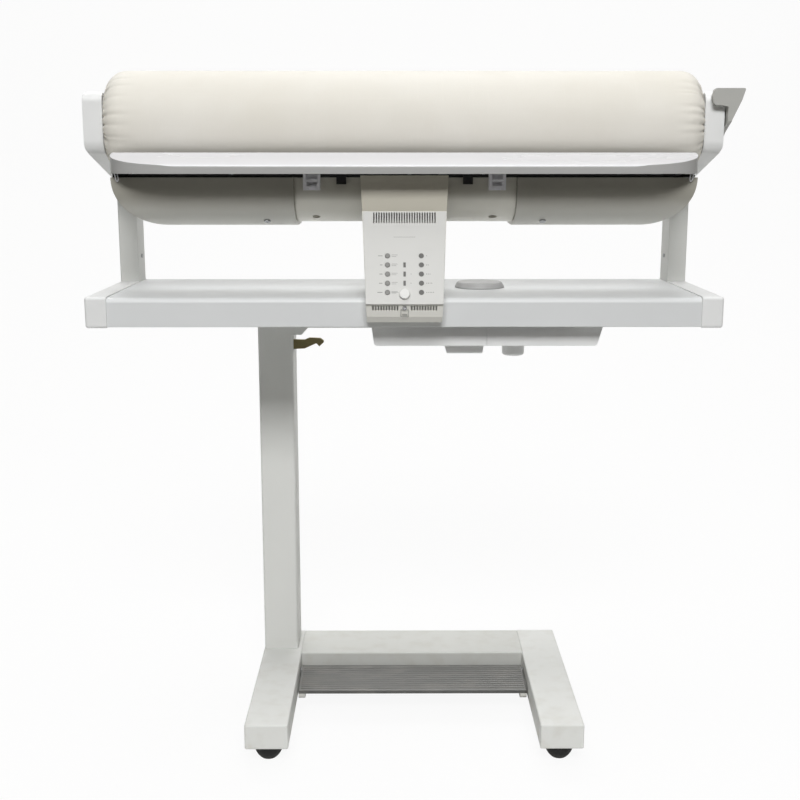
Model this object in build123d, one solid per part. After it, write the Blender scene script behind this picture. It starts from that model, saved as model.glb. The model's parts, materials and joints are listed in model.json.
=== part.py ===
from build123d import *
from math import atan2, cos, degrees, hypot, radians, sin
import os

# Free-standing household rotary ironer. Sizes are in mm.
# X runs from the middle of the ironing head, Y back from the shelf's front face, Z up from the floor.
# The last lines shift everything so that the origin is the middle of the footprint of the whole.

# clearances
running_gap = 0.05        # shaft in a bore, on the radius
seat_gap = 0.3            # between a resting piece and its seat
slide_gap = 0.15          # key in its hole, on the radius
collar_width = 2.5        # collars that hold pins and bearings, beyond the shaft

# overall sizes
base_left = -225.1
base_right = 253.1
foot_length = 348.0
column_height = 548.6
shelf_depth = 265.0
roller_half_length = 414.5
roller_radius = 75.0
roller_y = 140.0

# base
foot_width = 61.5
foot_thick = 36.7
foot_round = 2.5
base_wall = 2.0
glide_height = 25.7
glide_radius = 21.0
glide_sole_radius = 11.0
glide_inset = 33.0
stud_radius = 4.0
stud_length = 12.0
plug_lip = 2.5
plug_depth = 12.0
crossbar_depth = 93.7
base_top = glide_height + foot_thick
left_foot_inner = base_left + foot_width
right_foot_inner = base_right - foot_width

# shelf
shelf_wall = 2.5
shelf_height = 39.3
shelf_edge_round = 7.0
shelf_lip = 12.0
end_cap_width = 29.4
end_cap_proud = 1.5
end_cap_round = 4.0

# frame under the shelf
rail_depth = 46.5
rail_height = 26.0
rail_wall = 2.0
cross_member_width = 30.0
cross_member_left = (-40.0, 228.0)
rail_front = shelf_depth - shelf_wall - rail_depth

# column
column_left = base_left + 1.2
column_width = 54.1
column_front = rail_front + 13.5
column_depth = 66.7
column_wall = 2.5
column_round = 4.0
column_right = column_left + column_width
column_back = column_front + column_depth
column_top = base_top + column_height
foot_back = column_back + 10.8
foot_front = foot_back - foot_length
crossbar_front = foot_back - crossbar_depth
glide_rows = (foot_front + glide_inset, foot_back - glide_inset)

# fold pivot of the head on the column
pivot_x = -20.0
pivot_z = column_top - 11.0
pivot_radius = 7.0
eye_radius = 14.0
bracket_sheet = 5.9
bracket_top_plate = 3.0
bracket_depth = 27.5
ear_thick = 6.0
ear_space = 3.5
ear_spread = 22.0
gusset_tip = 23.8         # right of the column
gusset_low = column_top - 34.0
arm_low = column_top - 23.0
tab_left = 23.9           # right of the column's left edge
tab_width = 16.0
tab_low = column_top - 39.5
bracket_front = column_front - bracket_sheet
bracket_back = bracket_front + bracket_depth
bracket_top = column_top + bracket_top_plate

# latch lever
latch_x = column_right - 15.2
latch_y = column_front + 11.5
latch_z = column_top - 51.0
latch_pin_radius = 4.0
latch_eye_radius = 8.5
latch_thick = 6.0
latch_slot_low = latch_z - 11.0
latch_slot_high = latch_z + 15.0

# treadle
treadle_gap = 2.0
treadle_axis_y = crossbar_front - 10.3
treadle_axis_z = glide_height + 11.8
treadle_rod_radius = 4.0
treadle_barrel_radius = 7.0
treadle_depth = 83.0
treadle_front = treadle_axis_y - treadle_depth
treadle_front_top = glide_height + 14.3
treadle_plate = 5.0
treadle_rib_count = 11
treadle_rib_pitch = 6.6
treadle_groove_width = 1.6
treadle_groove_depth = 0.9
treadle_shoe_width = 10.0
treadle_shoe_low = glide_height + 0.8
switch_left = 0.0
switch_width = 40.0
switch_length = 38.0
switch_front = treadle_axis_y - 53.0
switch_low = glide_height - 3.7
switch_top = glide_height + 6.8
switch_strip = 2.0

# heights of the head above the column
shelf_bottom = column_top + 8.5
shelf_top = shelf_bottom + shelf_height
rail_low = shelf_bottom + shelf_wall
post_top = shelf_top + 131.2
roller_z = shelf_top + 229.2
roller_low = roller_z - roller_radius
roller_front = roller_y - roller_radius

# posts and arms that carry the roller
arm_gap = 3.0
arm_thick = 27.2
arm_step = 17.2
arm_wall = 3.0
arm_front = roller_y - 35.0
arm_top = roller_z + 45.0
arm_outer_bend = roller_z - 31.0
arm_inner_bend = roller_z - 56.0
arm_chin = roller_z - 35.0
arm_heel = post_top + 18.0
post_front = rail_front - 0.5
post_depth = 49.0
post_wall = 2.5
post_round = 2.0
post_back = post_front + post_depth
arm_inner = roller_half_length + arm_gap
arm_outer = arm_inner + arm_thick
post_outer = arm_outer - arm_step
shelf_half_length = post_outer + 1.4
panel_half_length = shelf_half_length - end_cap_width

# roller
roller_end_round = 28.0
roller_end_opening = 30.0
padding = 10.0
core_radius = roller_radius - padding
core_wall = 3.0
core_half_length = roller_half_length - 16.5
hub_flange = 7.0
hub_plug = 10.0
journal_radius = 12.0
bearing_radius = 20.0
bearing_length = 14.0
motor_radius = 26.0
motor_length = 266.5
motor_flange_radius = 31.0
motor_flange_thick = 6.0

# heated shoe, hinged behind the roller
hinge_y = post_front + 16.5
hinge_z = post_top - 15.0
hinge_pin_radius = 5.0
hinge_ear_radius = 12.0
press_angle = 3.0         # from open, as stored, to pressed against the roller
shoe_gap = 1.5            # left to the roller when pressed
shoe_thick = 8.0
shoe_front_angle = 50.0   # from straight down
shoe_rear_angle = 40.0
shoe_half_length = roller_half_length - 41.0
end_plate_thick = 6.0
end_plate_set_back = 3.0  # from the pressing face
heater_radius = 4.0
heater_angle = 30.0
lift_boss_half = 12.0
open_turn = radians(press_angle)
axis_dy = roller_y - hinge_y
axis_dz = roller_z - hinge_z
shoe_y = hinge_y + axis_dy * cos(open_turn) - axis_dz * sin(open_turn)
shoe_z = hinge_z + axis_dy * sin(open_turn) + axis_dz * cos(open_turn)
shoe_inner = roller_radius + shoe_gap
shoe_outer = shoe_inner + shoe_thick
plate_outer = shoe_half_length + end_plate_thick

# covers round the shoe
cover_half_length = roller_half_length - 19.6
cover_front = roller_front - 27.0
cover_rear = roller_y + 68.0
cover_low = roller_low - 63.0
cover_top = roller_low + 4.0
cover_wall = 2.5
cover_end_round = 68.0
cover_curve_depth = 80.0
cover_curve_height = 53.0
cover_rear_curve = 44.0
centre_left = -148.7
centre_right = 151.9
centre_inset = 5.0
cover_seam = 0.4
plate_floor = cover_low + 34.0
lift_boss_low = cover_low + 15.0
bridge_thick = 3.0
clip_width = 23.0
clip_low = cover_top - 17.0
clip_thick = 7.0
clip_places = (-124.6, 125.0)
bumper_width = 13.0
bumper_low = cover_top - 9.0
bumper_places = (-84.8, 85.7)
cover_screw_radius = 4.5
screw_y = cover_front + 38.0
side_screws = (-189.2, 191.8)
sunk_screws = (-121.3, 122.2)
well_radius = 5.6
well_wall = 2.0
well_depth = 7.0

# feed board
board_half_length = roller_half_length - 18.5
board_back = roller_front - 5.0
board_depth = 70.0
board_low = cover_top + 5.0
board_front_height = 11.5
board_back_height = 28.0
board_wall = 2.5
board_nose = 3.0
board_curve_length = 96.0
board_curve_depth = 60.0
board_pin_radius = 2.5
board_ear_radius = 5.0
board_front = board_back - board_depth
board_front_top = board_low + board_front_height
board_back_top = board_low + board_back_height
board_axis_y = board_back - 8.0
board_axis_z = board_low + 16.0
board_slope = (board_back_height - board_front_height) / board_depth

# control housing
housing_low = shelf_top - 30.8
housing_top = board_low - 2.0
housing_low_half = 50.0
housing_top_half = 58.9
housing_wall = 2.5
housing_back_top = cover_low - 8.0
housing_foot_reach = 14.0  # in front of the shelf
neck_back = cover_front - 5.0
neck_front = cover_front - 14.0
panel_top_y = neck_front - 4.0
panel_top_z = housing_top - 47.5
panel_reach = 30.0        # its lower edge, in front of the shelf
panel_low_y = -panel_reach
panel_low_z = shelf_top - 4.8
panel_thick = 2.5
panel_top_half = 55.3
panel_low_half = 51.2
panel_length = hypot(panel_top_y - panel_low_y, panel_top_z - panel_low_z)
panel_tilt = degrees(atan2(panel_top_y - panel_low_y, panel_top_z - panel_low_z))
strip_low_y = panel_low_y + 8.0
strip_low_z = housing_low + 8.4
vent_count = 25
vent_pitch = 3.4
vent_width = 1.6
vent_height = 14.8
vent_drop = 8.9
key_radius = 3.4
key_flange = 1.2
key_flange_radius = 4.6
key_proud = 1.0
key_depth = 4.6
key_column = -22.6
lamp_column = 22.2
key_pitch = 12.6
key_rows = 5
key_first = panel_length - 66.6
window_width = 3.1
window_height = 6.8
start_radius = 7.1
start_proud = 4.0
start_drop = panel_length - 13.5
lens_proud = 0.3
board_behind = 9.0
board_drop = 26.0
strip_slot_count = 10
strip_slot_pitch = 3.6
strip_slot_low = strip_low_z + 8.9
strip_slot_high = strip_low_z + 15.3
strip_slot_start = 9.4

# pressing drive inside the housing
push_y = 115.0
push_radius = 6.0
push_motor_top = housing_back_top - 14.0
housing_back = push_y + 25.0

# steam unit under the shelf
tray_left = -45.6
tray_seam = 113.0
tray_right = 273.0
tray_front = 25.0
tray_back = rail_front - 26.0
tray_low = shelf_bottom - 29.2
tray_wall = 2.5
tray_taper = 9.0
pump_left = 55.0
pump_right = 110.2
pump_front = 40.0
pump_back = 130.0
pump_low = tray_low - 12.7
pump_taper = 4.0
boiler_radius = 22.0
boiler_left = -4.0
boiler_length = 66.0
boiler_y = 108.0
tank_left = 70.0
tank_right = 222.0
tank_front = 40.0
tank_back = tray_back - 7.0
tank_top = shelf_top - 8.8
tank_wall = 2.5
inlet_left = 30.0
filler_x = 110.0
filler_y = 141.0
filler_radius = 35.7
filler_top_radius = 31.0
filler_height = 8.0
filler_plug_radius = 17.0
filler_neck_wall = 4.0
drain_x = 152.5
drain_y = 60.0
drain_radius = 15.5
drain_low = tray_low - 17.8
spout_radius = 9.0

# release handle on the right arm
handle_reach = 25.3
handle_hub_radius = 16.0
handle_thick = 6.0
handle_gap = 1.8
handle_blade = 8.0
handle_blade_front = roller_y - 46.0
handle_top = roller_z + 49.0
handle_length = 56.0
handle_right = arm_outer + handle_reach

# middle of the footprint
middle_x = (handle_right - arm_outer) / 2
middle_y = (foot_front + foot_back) / 2


def block(x0, x1, y0, y1, z0, z1):
    return Pos((x0 + x1) / 2, (y0 + y1) / 2, (z0 + z1) / 2) * Box(x1 - x0, y1 - y0, z1 - z0)


def rod_x(y, z, radius, x0, x1):
    return Pos((x0 + x1) / 2, y, z) * Rot(0, 90, 0) * Cylinder(radius, x1 - x0)


def rod_y(x, z, radius, y0, y1):
    return Pos(x, (y0 + y1) / 2, z) * Rot(90, 0, 0) * Cylinder(radius, y1 - y0)


def rod_z(x, y, radius, z0, z1):
    return Pos(x, y, (z0 + z1) / 2) * Cylinder(radius, z1 - z0)


def outline(points, radii=0.0):
    return make_face(FilletPolyline(*points, radius=radii, close=True))


def along_x(face, x0, x1):
    # a Y-Z outline carried from x0 to x1
    return extrude(Plane.YZ.offset(x0) * face, x1 - x0)


def along_y(face, y0, y1):
    # an X-Z outline carried from y0 to y1
    return extrude(Plane.XZ.offset(-y1) * face, y1 - y0)


def along_z(face, z0, z1):
    return extrude(Plane.XY.offset(z0) * face, z1 - z0)


def mirrored(solid):
    return mirror(solid, Plane.YZ)


# ---- base

def foot(left, inner_wall):
    right = left + foot_width
    back = foot_back - plug_lip
    tube = block(left, right, foot_front, back, glide_height, base_top)
    front_edges = tube.faces().sort_by(Axis.Y)[0].edges()
    tube = fillet(tube.edges().filter_by(Axis.Y) + front_edges, foot_round)
    tube -= block(left + base_wall, right - base_wall, foot_front + base_wall, back,
                  glide_height + base_wall, base_top - base_wall)
    for y in glide_rows:
        tube -= rod_z(left + foot_width / 2, y, stud_radius + running_gap, glide_height,
                      glide_height + base_wall)
    tube -= rod_x(treadle_axis_y, treadle_axis_z, treadle_rod_radius + running_gap, inner_wall,
                  inner_wall + base_wall)
    return tube


def foot_plug(left):
    right = left + foot_width
    back = foot_back - plug_lip
    lip = block(left, right, back, foot_back, glide_height, base_top)
    lip = fillet(lip.edges().filter_by(Axis.Y), foot_round)
    return lip + block(left + base_wall, right - base_wall, back - plug_depth, back,
                       glide_height + base_wall, base_top - base_wall)


def floor_glide(x, y):
    side = [
        Line((0, 0), (glide_sole_radius, 0)),
        ThreePointArc((glide_sole_radius, 0), (glide_radius - 2.5, glide_height * 0.38),
                      (glide_radius, glide_height * 0.8)),
        Line((glide_radius, glide_height * 0.8), (glide_radius, glide_height)),
        Line((glide_radius, glide_height), (0, glide_height)),
        Line((0, glide_height), (0, 0)),
    ]
    dome = revolve(Plane.XZ * make_face(side), Axis.Z)
    dome += rod_z(0, 0, stud_radius, glide_height, glide_height + stud_length)
    return Pos(x, y, 0) * dome


def crossbar():
    bar = block(left_foot_inner, right_foot_inner, crossbar_front, foot_back, glide_height, base_top)
    bar = fillet(bar.edges().filter_by(Axis.X), foot_round)
    return bar - block(left_foot_inner, right_foot_inner, crossbar_front + base_wall,
                       foot_back - base_wall, glide_height + base_wall, base_top - base_wall)


def column():
    tube = block(column_left, column_right, column_front, column_back, base_top, column_top)
    tube = fillet(tube.edges().filter_by(Axis.Z), column_round)
    tube -= block(column_left + column_wall, column_right - column_wall,
                  column_front + column_wall, column_back - column_wall, base_top, column_top)
    return tube - block(column_right - column_wall, column_right, latch_y - latch_thick / 2 - 1,
                        latch_y + latch_thick / 2 + 1, latch_slot_low, latch_slot_high)


# ---- fold pivot

def pivot_bracket():
    tip = column_right + gusset_tip
    tab = column_left + tab_left
    front_face = outline([
        (tab, bracket_top), (tab, tab_low + 10), (tab + 5, tab_low), (tab + tab_width, tab_low),
        (tab + tab_width + 6, gusset_low), (tip - 10, gusset_low), (tip, arm_low),
        (pivot_x, arm_low), (pivot_x, bracket_top)], [0, 2, 4, 4, 3, 3, 3, 0, 0])
    back_face = outline([
        (column_right, bracket_top), (column_right, gusset_low), (tip - 10, gusset_low),
        (tip, arm_low), (pivot_x, arm_low), (pivot_x, bracket_top)], [0, 0, 3, 3, 0, 0])
    body = along_y(front_face, bracket_front, column_front)
    body += along_y(back_face, bracket_back - bracket_sheet, bracket_back)
    body += block(column_left, column_right, bracket_front, column_back, column_top, bracket_top)
    body += block(column_right, pivot_x, bracket_front, bracket_back, column_top, bracket_top)
    body += rod_y(pivot_x, pivot_z, eye_radius, bracket_front, bracket_back)
    return body - rod_y(pivot_x, pivot_z, pivot_radius + running_gap, bracket_front, bracket_back)


def ear_faces():
    front = bracket_front - ear_space - ear_thick
    back = bracket_back + ear_space
    return (front, back)


def fold_ear(y0):
    hanger = outline([
        (pivot_x - ear_spread, rail_low), (pivot_x - eye_radius, pivot_z),
        (pivot_x + eye_radius, pivot_z), (pivot_x + ear_spread, rail_low)])
    ear = along_y(hanger, y0, y0 + ear_thick)
    ear += rod_y(pivot_x, pivot_z, eye_radius, y0, y0 + ear_thick)
    return ear - rod_y(pivot_x, pivot_z, pivot_radius + running_gap, y0, y0 + ear_thick)


def fold_pin():
    front, back = ear_faces()
    pin = rod_y(pivot_x, pivot_z, pivot_radius, front - 2, back + ear_thick + 2)
    collar = pivot_radius + collar_width
    pin += rod_y(pivot_x, pivot_z, collar, bracket_front - ear_space + seat_gap, bracket_front)
    return pin + rod_y(pivot_x, pivot_z, collar, bracket_back, bracket_back + ear_space - seat_gap)


def rest_pad():
    return block(column_left + 8, column_right - 8, column_front, rail_front + rail_depth - 6,
                 bracket_top, rail_low - seat_gap)


# ---- latch lever

def latch_lever():
    hook = [(17.4, 7.2), (24.8, 10.4), (41.8, 9.6), (48.3, 4.6), (39.8, -3.2), (35.3, 1.8),
            (17.4, -6.4)]
    shape = outline([(latch_x, latch_z + 8)] + [(column_right + x, latch_z + z) for x, z in hook]
                    + [(latch_x, latch_z - 8)], [0, 3, 3, 4, 2.5, 0.5, 2, 4, 0])
    low = latch_y - latch_thick / 2
    lever = along_y(shape, low, low + latch_thick)
    lever += rod_y(latch_x, latch_z, latch_eye_radius, low, low + latch_thick)
    return lever - rod_y(latch_x, latch_z, latch_pin_radius + running_gap, low, low + latch_thick)


def latch_pin():
    return rod_y(latch_x, latch_z, latch_pin_radius, column_front + column_wall,
                 column_back - column_wall)


# ---- treadle

def treadle():
    left = left_foot_inner + treadle_gap
    right = right_foot_inner - treadle_gap
    back_top = treadle_axis_z + treadle_barrel_radius
    face = outline([
        (treadle_front, treadle_front_top), (treadle_axis_y, back_top),
        (treadle_axis_y, back_top - treadle_plate), (treadle_front, treadle_front_top - treadle_plate)])
    plate = along_x(face, left, right)
    plate += rod_x(treadle_axis_y, treadle_axis_z, treadle_barrel_radius, left, right)
    plate -= rod_x(treadle_axis_y, treadle_axis_z, treadle_rod_radius + running_gap, left, right)
    slope = (back_top - treadle_front_top) / (treadle_axis_y - treadle_front)
    for step in range(treadle_rib_count):
        y = treadle_front + 7 + step * treadle_rib_pitch
        top = treadle_front_top + (y - treadle_front) * slope
        plate -= block(left + 3, right - 3, y, y + treadle_groove_width,
                       top - treadle_groove_depth, top + 1)
    return plate


def treadle_shoe(left):
    face = outline([
        (treadle_front, treadle_shoe_low), (treadle_front + 20, treadle_shoe_low),
        (treadle_front + 20, treadle_front_top - treadle_plate),
        (treadle_front, treadle_front_top - treadle_plate)], [5, 5, 0, 0])
    return along_x(face, left, left + treadle_shoe_width)


def treadle_shoes():
    left = left_foot_inner + treadle_gap
    right = right_foot_inner - treadle_gap - treadle_shoe_width
    return [treadle_shoe(left), treadle_shoe(right)]


def treadle_rod():
    reach = base_wall + 2
    rod = rod_x(treadle_axis_y, treadle_axis_z, treadle_rod_radius,
                left_foot_inner - reach, right_foot_inner + reach)
    for start in (left_foot_inner - reach, right_foot_inner + base_wall):
        rod += rod_x(treadle_axis_y, treadle_axis_z, treadle_rod_radius + collar_width,
                     start, start + 2)
    return rod


def treadle_switch():
    right = switch_left + switch_width
    back = switch_front + switch_length
    body = block(switch_left, right, switch_front, back, switch_low, switch_top)
    body = fillet(body.edges().filter_by(Axis.Z), 2)
    return body + block(switch_left + 5, right - 5, back, crossbar_front + 48,
                        glide_height - switch_strip, glide_height)


# ---- shelf and its frame

def shelf_panel():
    back = shelf_depth
    face = outline([
        (0, shelf_bottom), (0, shelf_top), (back, shelf_top), (back, shelf_bottom),
        (back - shelf_wall, shelf_bottom), (back - shelf_wall, shelf_top - shelf_wall),
        (shelf_wall, shelf_top - shelf_wall), (shelf_wall, shelf_bottom + shelf_wall),
        (shelf_lip, shelf_bottom + shelf_wall), (shelf_lip, shelf_bottom)],
        [1, shelf_edge_round, 3, 0, 0, 0.5, shelf_edge_round - shelf_wall, 0, 0, 0])
    panel = along_x(face, -panel_half_length, panel_half_length)
    neck = filler_plug_radius + filler_neck_wall + seat_gap
    return panel - rod_z(filler_x, filler_y, neck, shelf_top - shelf_wall, shelf_top)


def shelf_end_cap():
    low = shelf_bottom - end_cap_proud
    top = shelf_top + end_cap_proud
    front = -end_cap_proud
    back = shelf_depth + end_cap_proud
    cap = block(panel_half_length, shelf_half_length, front, back, low, top)
    outer_edges = cap.faces().sort_by(Axis.X)[-1].edges()
    cap = fillet(outer_edges + cap.edges().filter_by(Axis.X), end_cap_round)
    cap -= block(panel_half_length, shelf_half_length - shelf_wall, front + shelf_wall,
                 back - shelf_wall, low, top - shelf_wall)
    return cap - block(panel_half_length, post_outer + seat_gap, post_front - seat_gap,
                       post_back + seat_gap, low, top)


def underframe():
    rail_back = rail_front + rail_depth
    top = rail_low + rail_height
    frame = block(-panel_half_length, panel_half_length, rail_front, rail_back, rail_low, top)
    frame -= block(-panel_half_length, panel_half_length, rail_front + rail_wall,
                   rail_back - rail_wall, rail_low + rail_wall, top - rail_wall)
    for left in cross_member_left:
        right = left + cross_member_width
        member = block(left, right, shelf_wall, rail_front, rail_low, top)
        member -= block(left + rail_wall, right - rail_wall, shelf_wall, rail_front,
                        rail_low + rail_wall, top - rail_wall)
        frame += member
    for y in ear_faces():
        frame += fold_ear(y)
    return frame


def post():
    tube = block(panel_half_length, post_outer, post_front, post_back, rail_low, post_top)
    tube = fillet(tube.edges().filter_by(Axis.Z), post_round)
    tube -= block(panel_half_length + post_wall, post_outer - post_wall, post_front + post_wall,
                  post_back - post_wall, rail_low, post_top)
    return tube - rod_x(hinge_y, hinge_z, hinge_pin_radius + running_gap, panel_half_length,
                        panel_half_length + post_wall)


def arm_body(inset):
    inner_foot = panel_half_length + inset
    outer_foot = post_outer - inset
    front_view = outline([
        (inner_foot, post_top), (outer_foot, post_top), (outer_foot, arm_heel),
        (arm_outer - inset, arm_outer_bend), (arm_outer - inset, arm_top - inset),
        (arm_inner + inset, arm_top - inset), (arm_inner + inset, arm_inner_bend),
        (inner_foot, post_top + 10)], [0, 0, 10, 20 - inset, 8 - inset, 4 - inset, 8, 6])
    side_view = outline([
        (post_front + inset, post_top), (post_back - inset, post_top),
        (post_back - inset, arm_top - inset), (arm_front + inset, arm_top - inset),
        (arm_front + inset, arm_chin + inset), (post_front + inset, arm_heel + inset)],
        [0, 0, 30 - inset, 14 - inset, 20, 12])
    across = along_y(front_view, arm_front, post_back)
    return across & along_x(side_view, inner_foot, arm_outer - inset)


def arm_cover(hole_radius):
    shell = arm_body(0) - arm_body(arm_wall)
    return shell - rod_x(roller_y, roller_z, hole_radius, arm_inner, arm_inner + arm_wall)


def hinge_pin():
    start = panel_half_length + post_wall
    pin = rod_x(hinge_y, hinge_z, hinge_pin_radius, shoe_half_length - 2, start)
    return pin + rod_x(hinge_y, hinge_z, hinge_pin_radius + collar_width, start, start + 3)


# ---- roller

def roller_core():
    tube = rod_x(roller_y, roller_z, core_radius, -core_half_length, core_half_length)
    return tube - rod_x(roller_y, roller_z, core_radius - core_wall,
                        -core_half_length, core_half_length)


def roller_hub(bore):
    outer = core_half_length + hub_flange
    hub = rod_x(roller_y, roller_z, core_radius, core_half_length, outer)
    hub += rod_x(roller_y, roller_z, core_radius - core_wall, core_half_length - hub_plug,
                 core_half_length)
    if bore:
        hub -= rod_x(roller_y, roller_z, bore, core_half_length - hub_plug, outer)
    return hub


def motor_end():
    return -arm_inner - arm_wall - motor_flange_thick + motor_length


def roller_hubs():
    left = mirrored(roller_hub(motor_radius + running_gap))
    right = roller_hub(0)
    right += rod_x(roller_y, roller_z, journal_radius, core_half_length + hub_flange,
                   arm_inner + bearing_length)
    drive_left = motor_end() + 10
    drive = rod_x(roller_y, roller_z, core_radius - core_wall, drive_left, drive_left + 10)
    drive += rod_x(roller_y, roller_z, 10, motor_end() + seat_gap, drive_left)
    return [left, right, drive]


def roller_motor():
    left = -arm_inner - arm_wall - motor_flange_thick
    body = rod_x(roller_y, roller_z, motor_radius, left, motor_end())
    return body + rod_x(roller_y, roller_z, motor_flange_radius, left, left + motor_flange_thick)


def roller_bearing():
    ring = rod_x(roller_y, roller_z, bearing_radius, arm_inner, arm_inner + bearing_length)
    ring += rod_x(roller_y, roller_z, bearing_radius + collar_width, arm_inner + arm_wall,
                  arm_inner + arm_wall + 3)
    return ring - rod_x(roller_y, roller_z, journal_radius + running_gap, arm_inner,
                        arm_inner + bearing_length)


def roller_cover():
    # padding and cloth as one closed form: full along the core, drawn in round both ends
    half = roller_half_length
    shoulder = half - roller_end_round
    lining = core_half_length + hub_flange
    arc_45 = roller_end_round * cos(radians(45))
    arcs = []
    for side in (1, -1):
        arcs.append(ThreePointArc(
            (side * shoulder, roller_radius),
            (side * (shoulder + arc_45), roller_radius - roller_end_round + arc_45),
            (side * half, roller_radius - roller_end_round)))
        arcs.append(Line((side * half, roller_radius - roller_end_round),
                         (side * half, roller_end_opening)))
        arcs.append(Line((side * half, roller_end_opening), (side * lining, roller_end_opening)))
        arcs.append(Line((side * lining, roller_end_opening), (side * lining, core_radius)))
    arcs.append(Line((-shoulder, roller_radius), (shoulder, roller_radius)))
    arcs.append(Line((-lining, core_radius), (lining, core_radius)))
    return Pos(0, roller_y, roller_z) * revolve(make_face(arcs), Axis.X)


# ---- heated shoe

def shoe_point(radius, angle):
    turn = radians(angle)
    return (shoe_y - radius * sin(turn), shoe_z - radius * cos(turn))


def shoe_trough():
    ends = (shoe_front_angle, -shoe_rear_angle)
    middle = (shoe_front_angle - shoe_rear_angle) / 2
    edges = [
        ThreePointArc(shoe_point(shoe_inner, ends[0]), shoe_point(shoe_inner, middle),
                      shoe_point(shoe_inner, ends[1])),
        ThreePointArc(shoe_point(shoe_outer, ends[0]), shoe_point(shoe_outer, middle),
                      shoe_point(shoe_outer, ends[1])),
        Line(shoe_point(shoe_inner, ends[0]), shoe_point(shoe_outer, ends[0])),
        Line(shoe_point(shoe_inner, ends[1]), shoe_point(shoe_outer, ends[1])),
    ]
    trough = along_x(make_face(edges), -shoe_half_length, shoe_half_length)
    boss_top = shoe_z - shoe_outer + lift_boss_half
    boss = block(-lift_boss_half, lift_boss_half, push_y - 10, push_y + 10, lift_boss_low, boss_top)
    return trough + (boss - rod_x(shoe_y, shoe_z, shoe_outer, -lift_boss_half, lift_boss_half))


def heating_rods():
    rods = []
    for angle in (heater_angle, -heater_angle):
        y, z = shoe_point(shoe_outer + heater_radius, angle)
        rod = rod_x(y, z, heater_radius, -shoe_half_length, shoe_half_length - 26)
        rods.append(rod + rod_x(y, z, heater_radius / 2, shoe_half_length - 26, shoe_half_length - 8))
    return rods


def end_plate():
    # inside the covers' closed ends, with a lug behind for the hinge and one in front for the board
    face = outline([
        (board_back, board_low), (board_axis_y - board_ear_radius, board_low - 7),
        (board_axis_y - board_ear_radius, board_low - 22), (cover_front + 34, plate_floor + 8),
        (cover_front + 62, plate_floor), (cover_rear + 2, plate_floor),
        (hinge_y - 8, hinge_z - 9), (hinge_y, hinge_z - hinge_ear_radius),
        (hinge_y, hinge_z + hinge_ear_radius), (cover_rear - 12, cover_top - 2),
        (roller_y, board_low)])
    plate = along_x(face, shoe_half_length, plate_outer)
    plate += rod_x(hinge_y, hinge_z, hinge_ear_radius, shoe_half_length, plate_outer)
    neck = outline([
        (board_axis_y - board_ear_radius, board_axis_z),
        (board_axis_y - board_ear_radius, board_low - 10), (board_back, board_low - 10),
        (board_back, board_low), (board_axis_y + board_ear_radius, board_low + 5),
        (board_axis_y + board_ear_radius, board_axis_z)])
    plate += along_x(neck, shoe_half_length, plate_outer)
    plate += rod_x(board_axis_y, board_axis_z, board_ear_radius, shoe_half_length, plate_outer)
    plate -= rod_x(shoe_y, shoe_z, shoe_inner + end_plate_set_back, shoe_half_length, plate_outer)
    plate -= rod_x(hinge_y, hinge_z, hinge_pin_radius + running_gap, shoe_half_length, plate_outer)
    return plate + rod_x(board_axis_y, board_axis_z, board_pin_radius, plate_outer,
                         board_half_length)


def cover_side(inset, top_up):
    front = cover_front + inset
    rear = cover_rear - inset
    low = cover_low + inset
    front_depth = cover_curve_depth - inset
    front_height = cover_curve_height - inset
    rear_size = cover_rear_curve - inset
    front_mid = (front + front_depth, low + front_height)
    rear_mid = (rear - rear_size, low + rear_size)
    edges = [
        Line((front, cover_top + top_up), (front, front_mid[1])),
        EllipticalCenterArc(front_mid, front_depth, front_height, start_angle=180, arc_size=90),
        Line((front_mid[0], low), (rear_mid[0], low)),
        CenterArc(rear_mid, rear_size, -90, 90),
        Line((rear, rear_mid[1]), (rear, cover_top + top_up)),
        Line((rear, cover_top + top_up), (front, cover_top + top_up)),
    ]
    return make_face(edges)


def cover_block(inset, x0, x1, top_up=0.0):
    half = cover_half_length - max(inset, 0)
    low = cover_low + inset
    ends = outline([(-half, 900), (-half, low), (half, low), (half, 900)],
                   [0, cover_end_round - inset, cover_end_round - inset, 0])
    return along_x(cover_side(inset, top_up), x0, x1) & along_y(ends, cover_front, cover_rear)


def side_cover(start):
    # a right-hand cover; its inner end is closed down to the centre cover's outline
    shell = cover_block(0, start, cover_half_length)
    shell -= cover_block(cover_wall, start + cover_wall, cover_half_length - cover_wall, 10)
    shell -= cover_block(centre_inset + cover_wall, start, start + cover_wall, 10)
    shell -= rod_x(shoe_y, shoe_z, shoe_outer, shoe_half_length, cover_half_length)
    return shell - block(shoe_half_length - 1, plate_outer + 1, cover_rear - 10, cover_rear,
                         plate_floor - 1, cover_top)


def centre_cover():
    outer = cover_block(centre_inset, centre_left, centre_right)
    shell = outer - cover_block(centre_inset + cover_wall, centre_left, centre_right, 10)
    for x in sunk_screws:
        cup = Pos(0, 0, well_depth / 2) * Cylinder(well_radius + well_wall, well_depth + 2 * well_wall)
        shell += (on_cover(x, centre_inset) * cup) & outer
        shell -= on_cover(x, centre_inset) * Cylinder(well_radius, 2 * well_depth)
    return shell - rod_z(0, push_y, push_radius + 3, cover_low, cover_low + 20)


def front_bridge():
    # dark strip that closes the space between the covers' front edge and the shoe
    top = cover_top + bridge_thick
    reach = shoe_point(shoe_outer, shoe_front_angle)[0]
    front = cover_front + centre_inset
    strip = block(-shoe_half_length, shoe_half_length, front, reach + 12, cover_top, top)
    return strip - rod_x(shoe_y, shoe_z, shoe_outer, -shoe_half_length, shoe_half_length)


def under_board(y):
    return board_back_top - (board_back - y) * board_slope - board_wall - seat_gap


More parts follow.
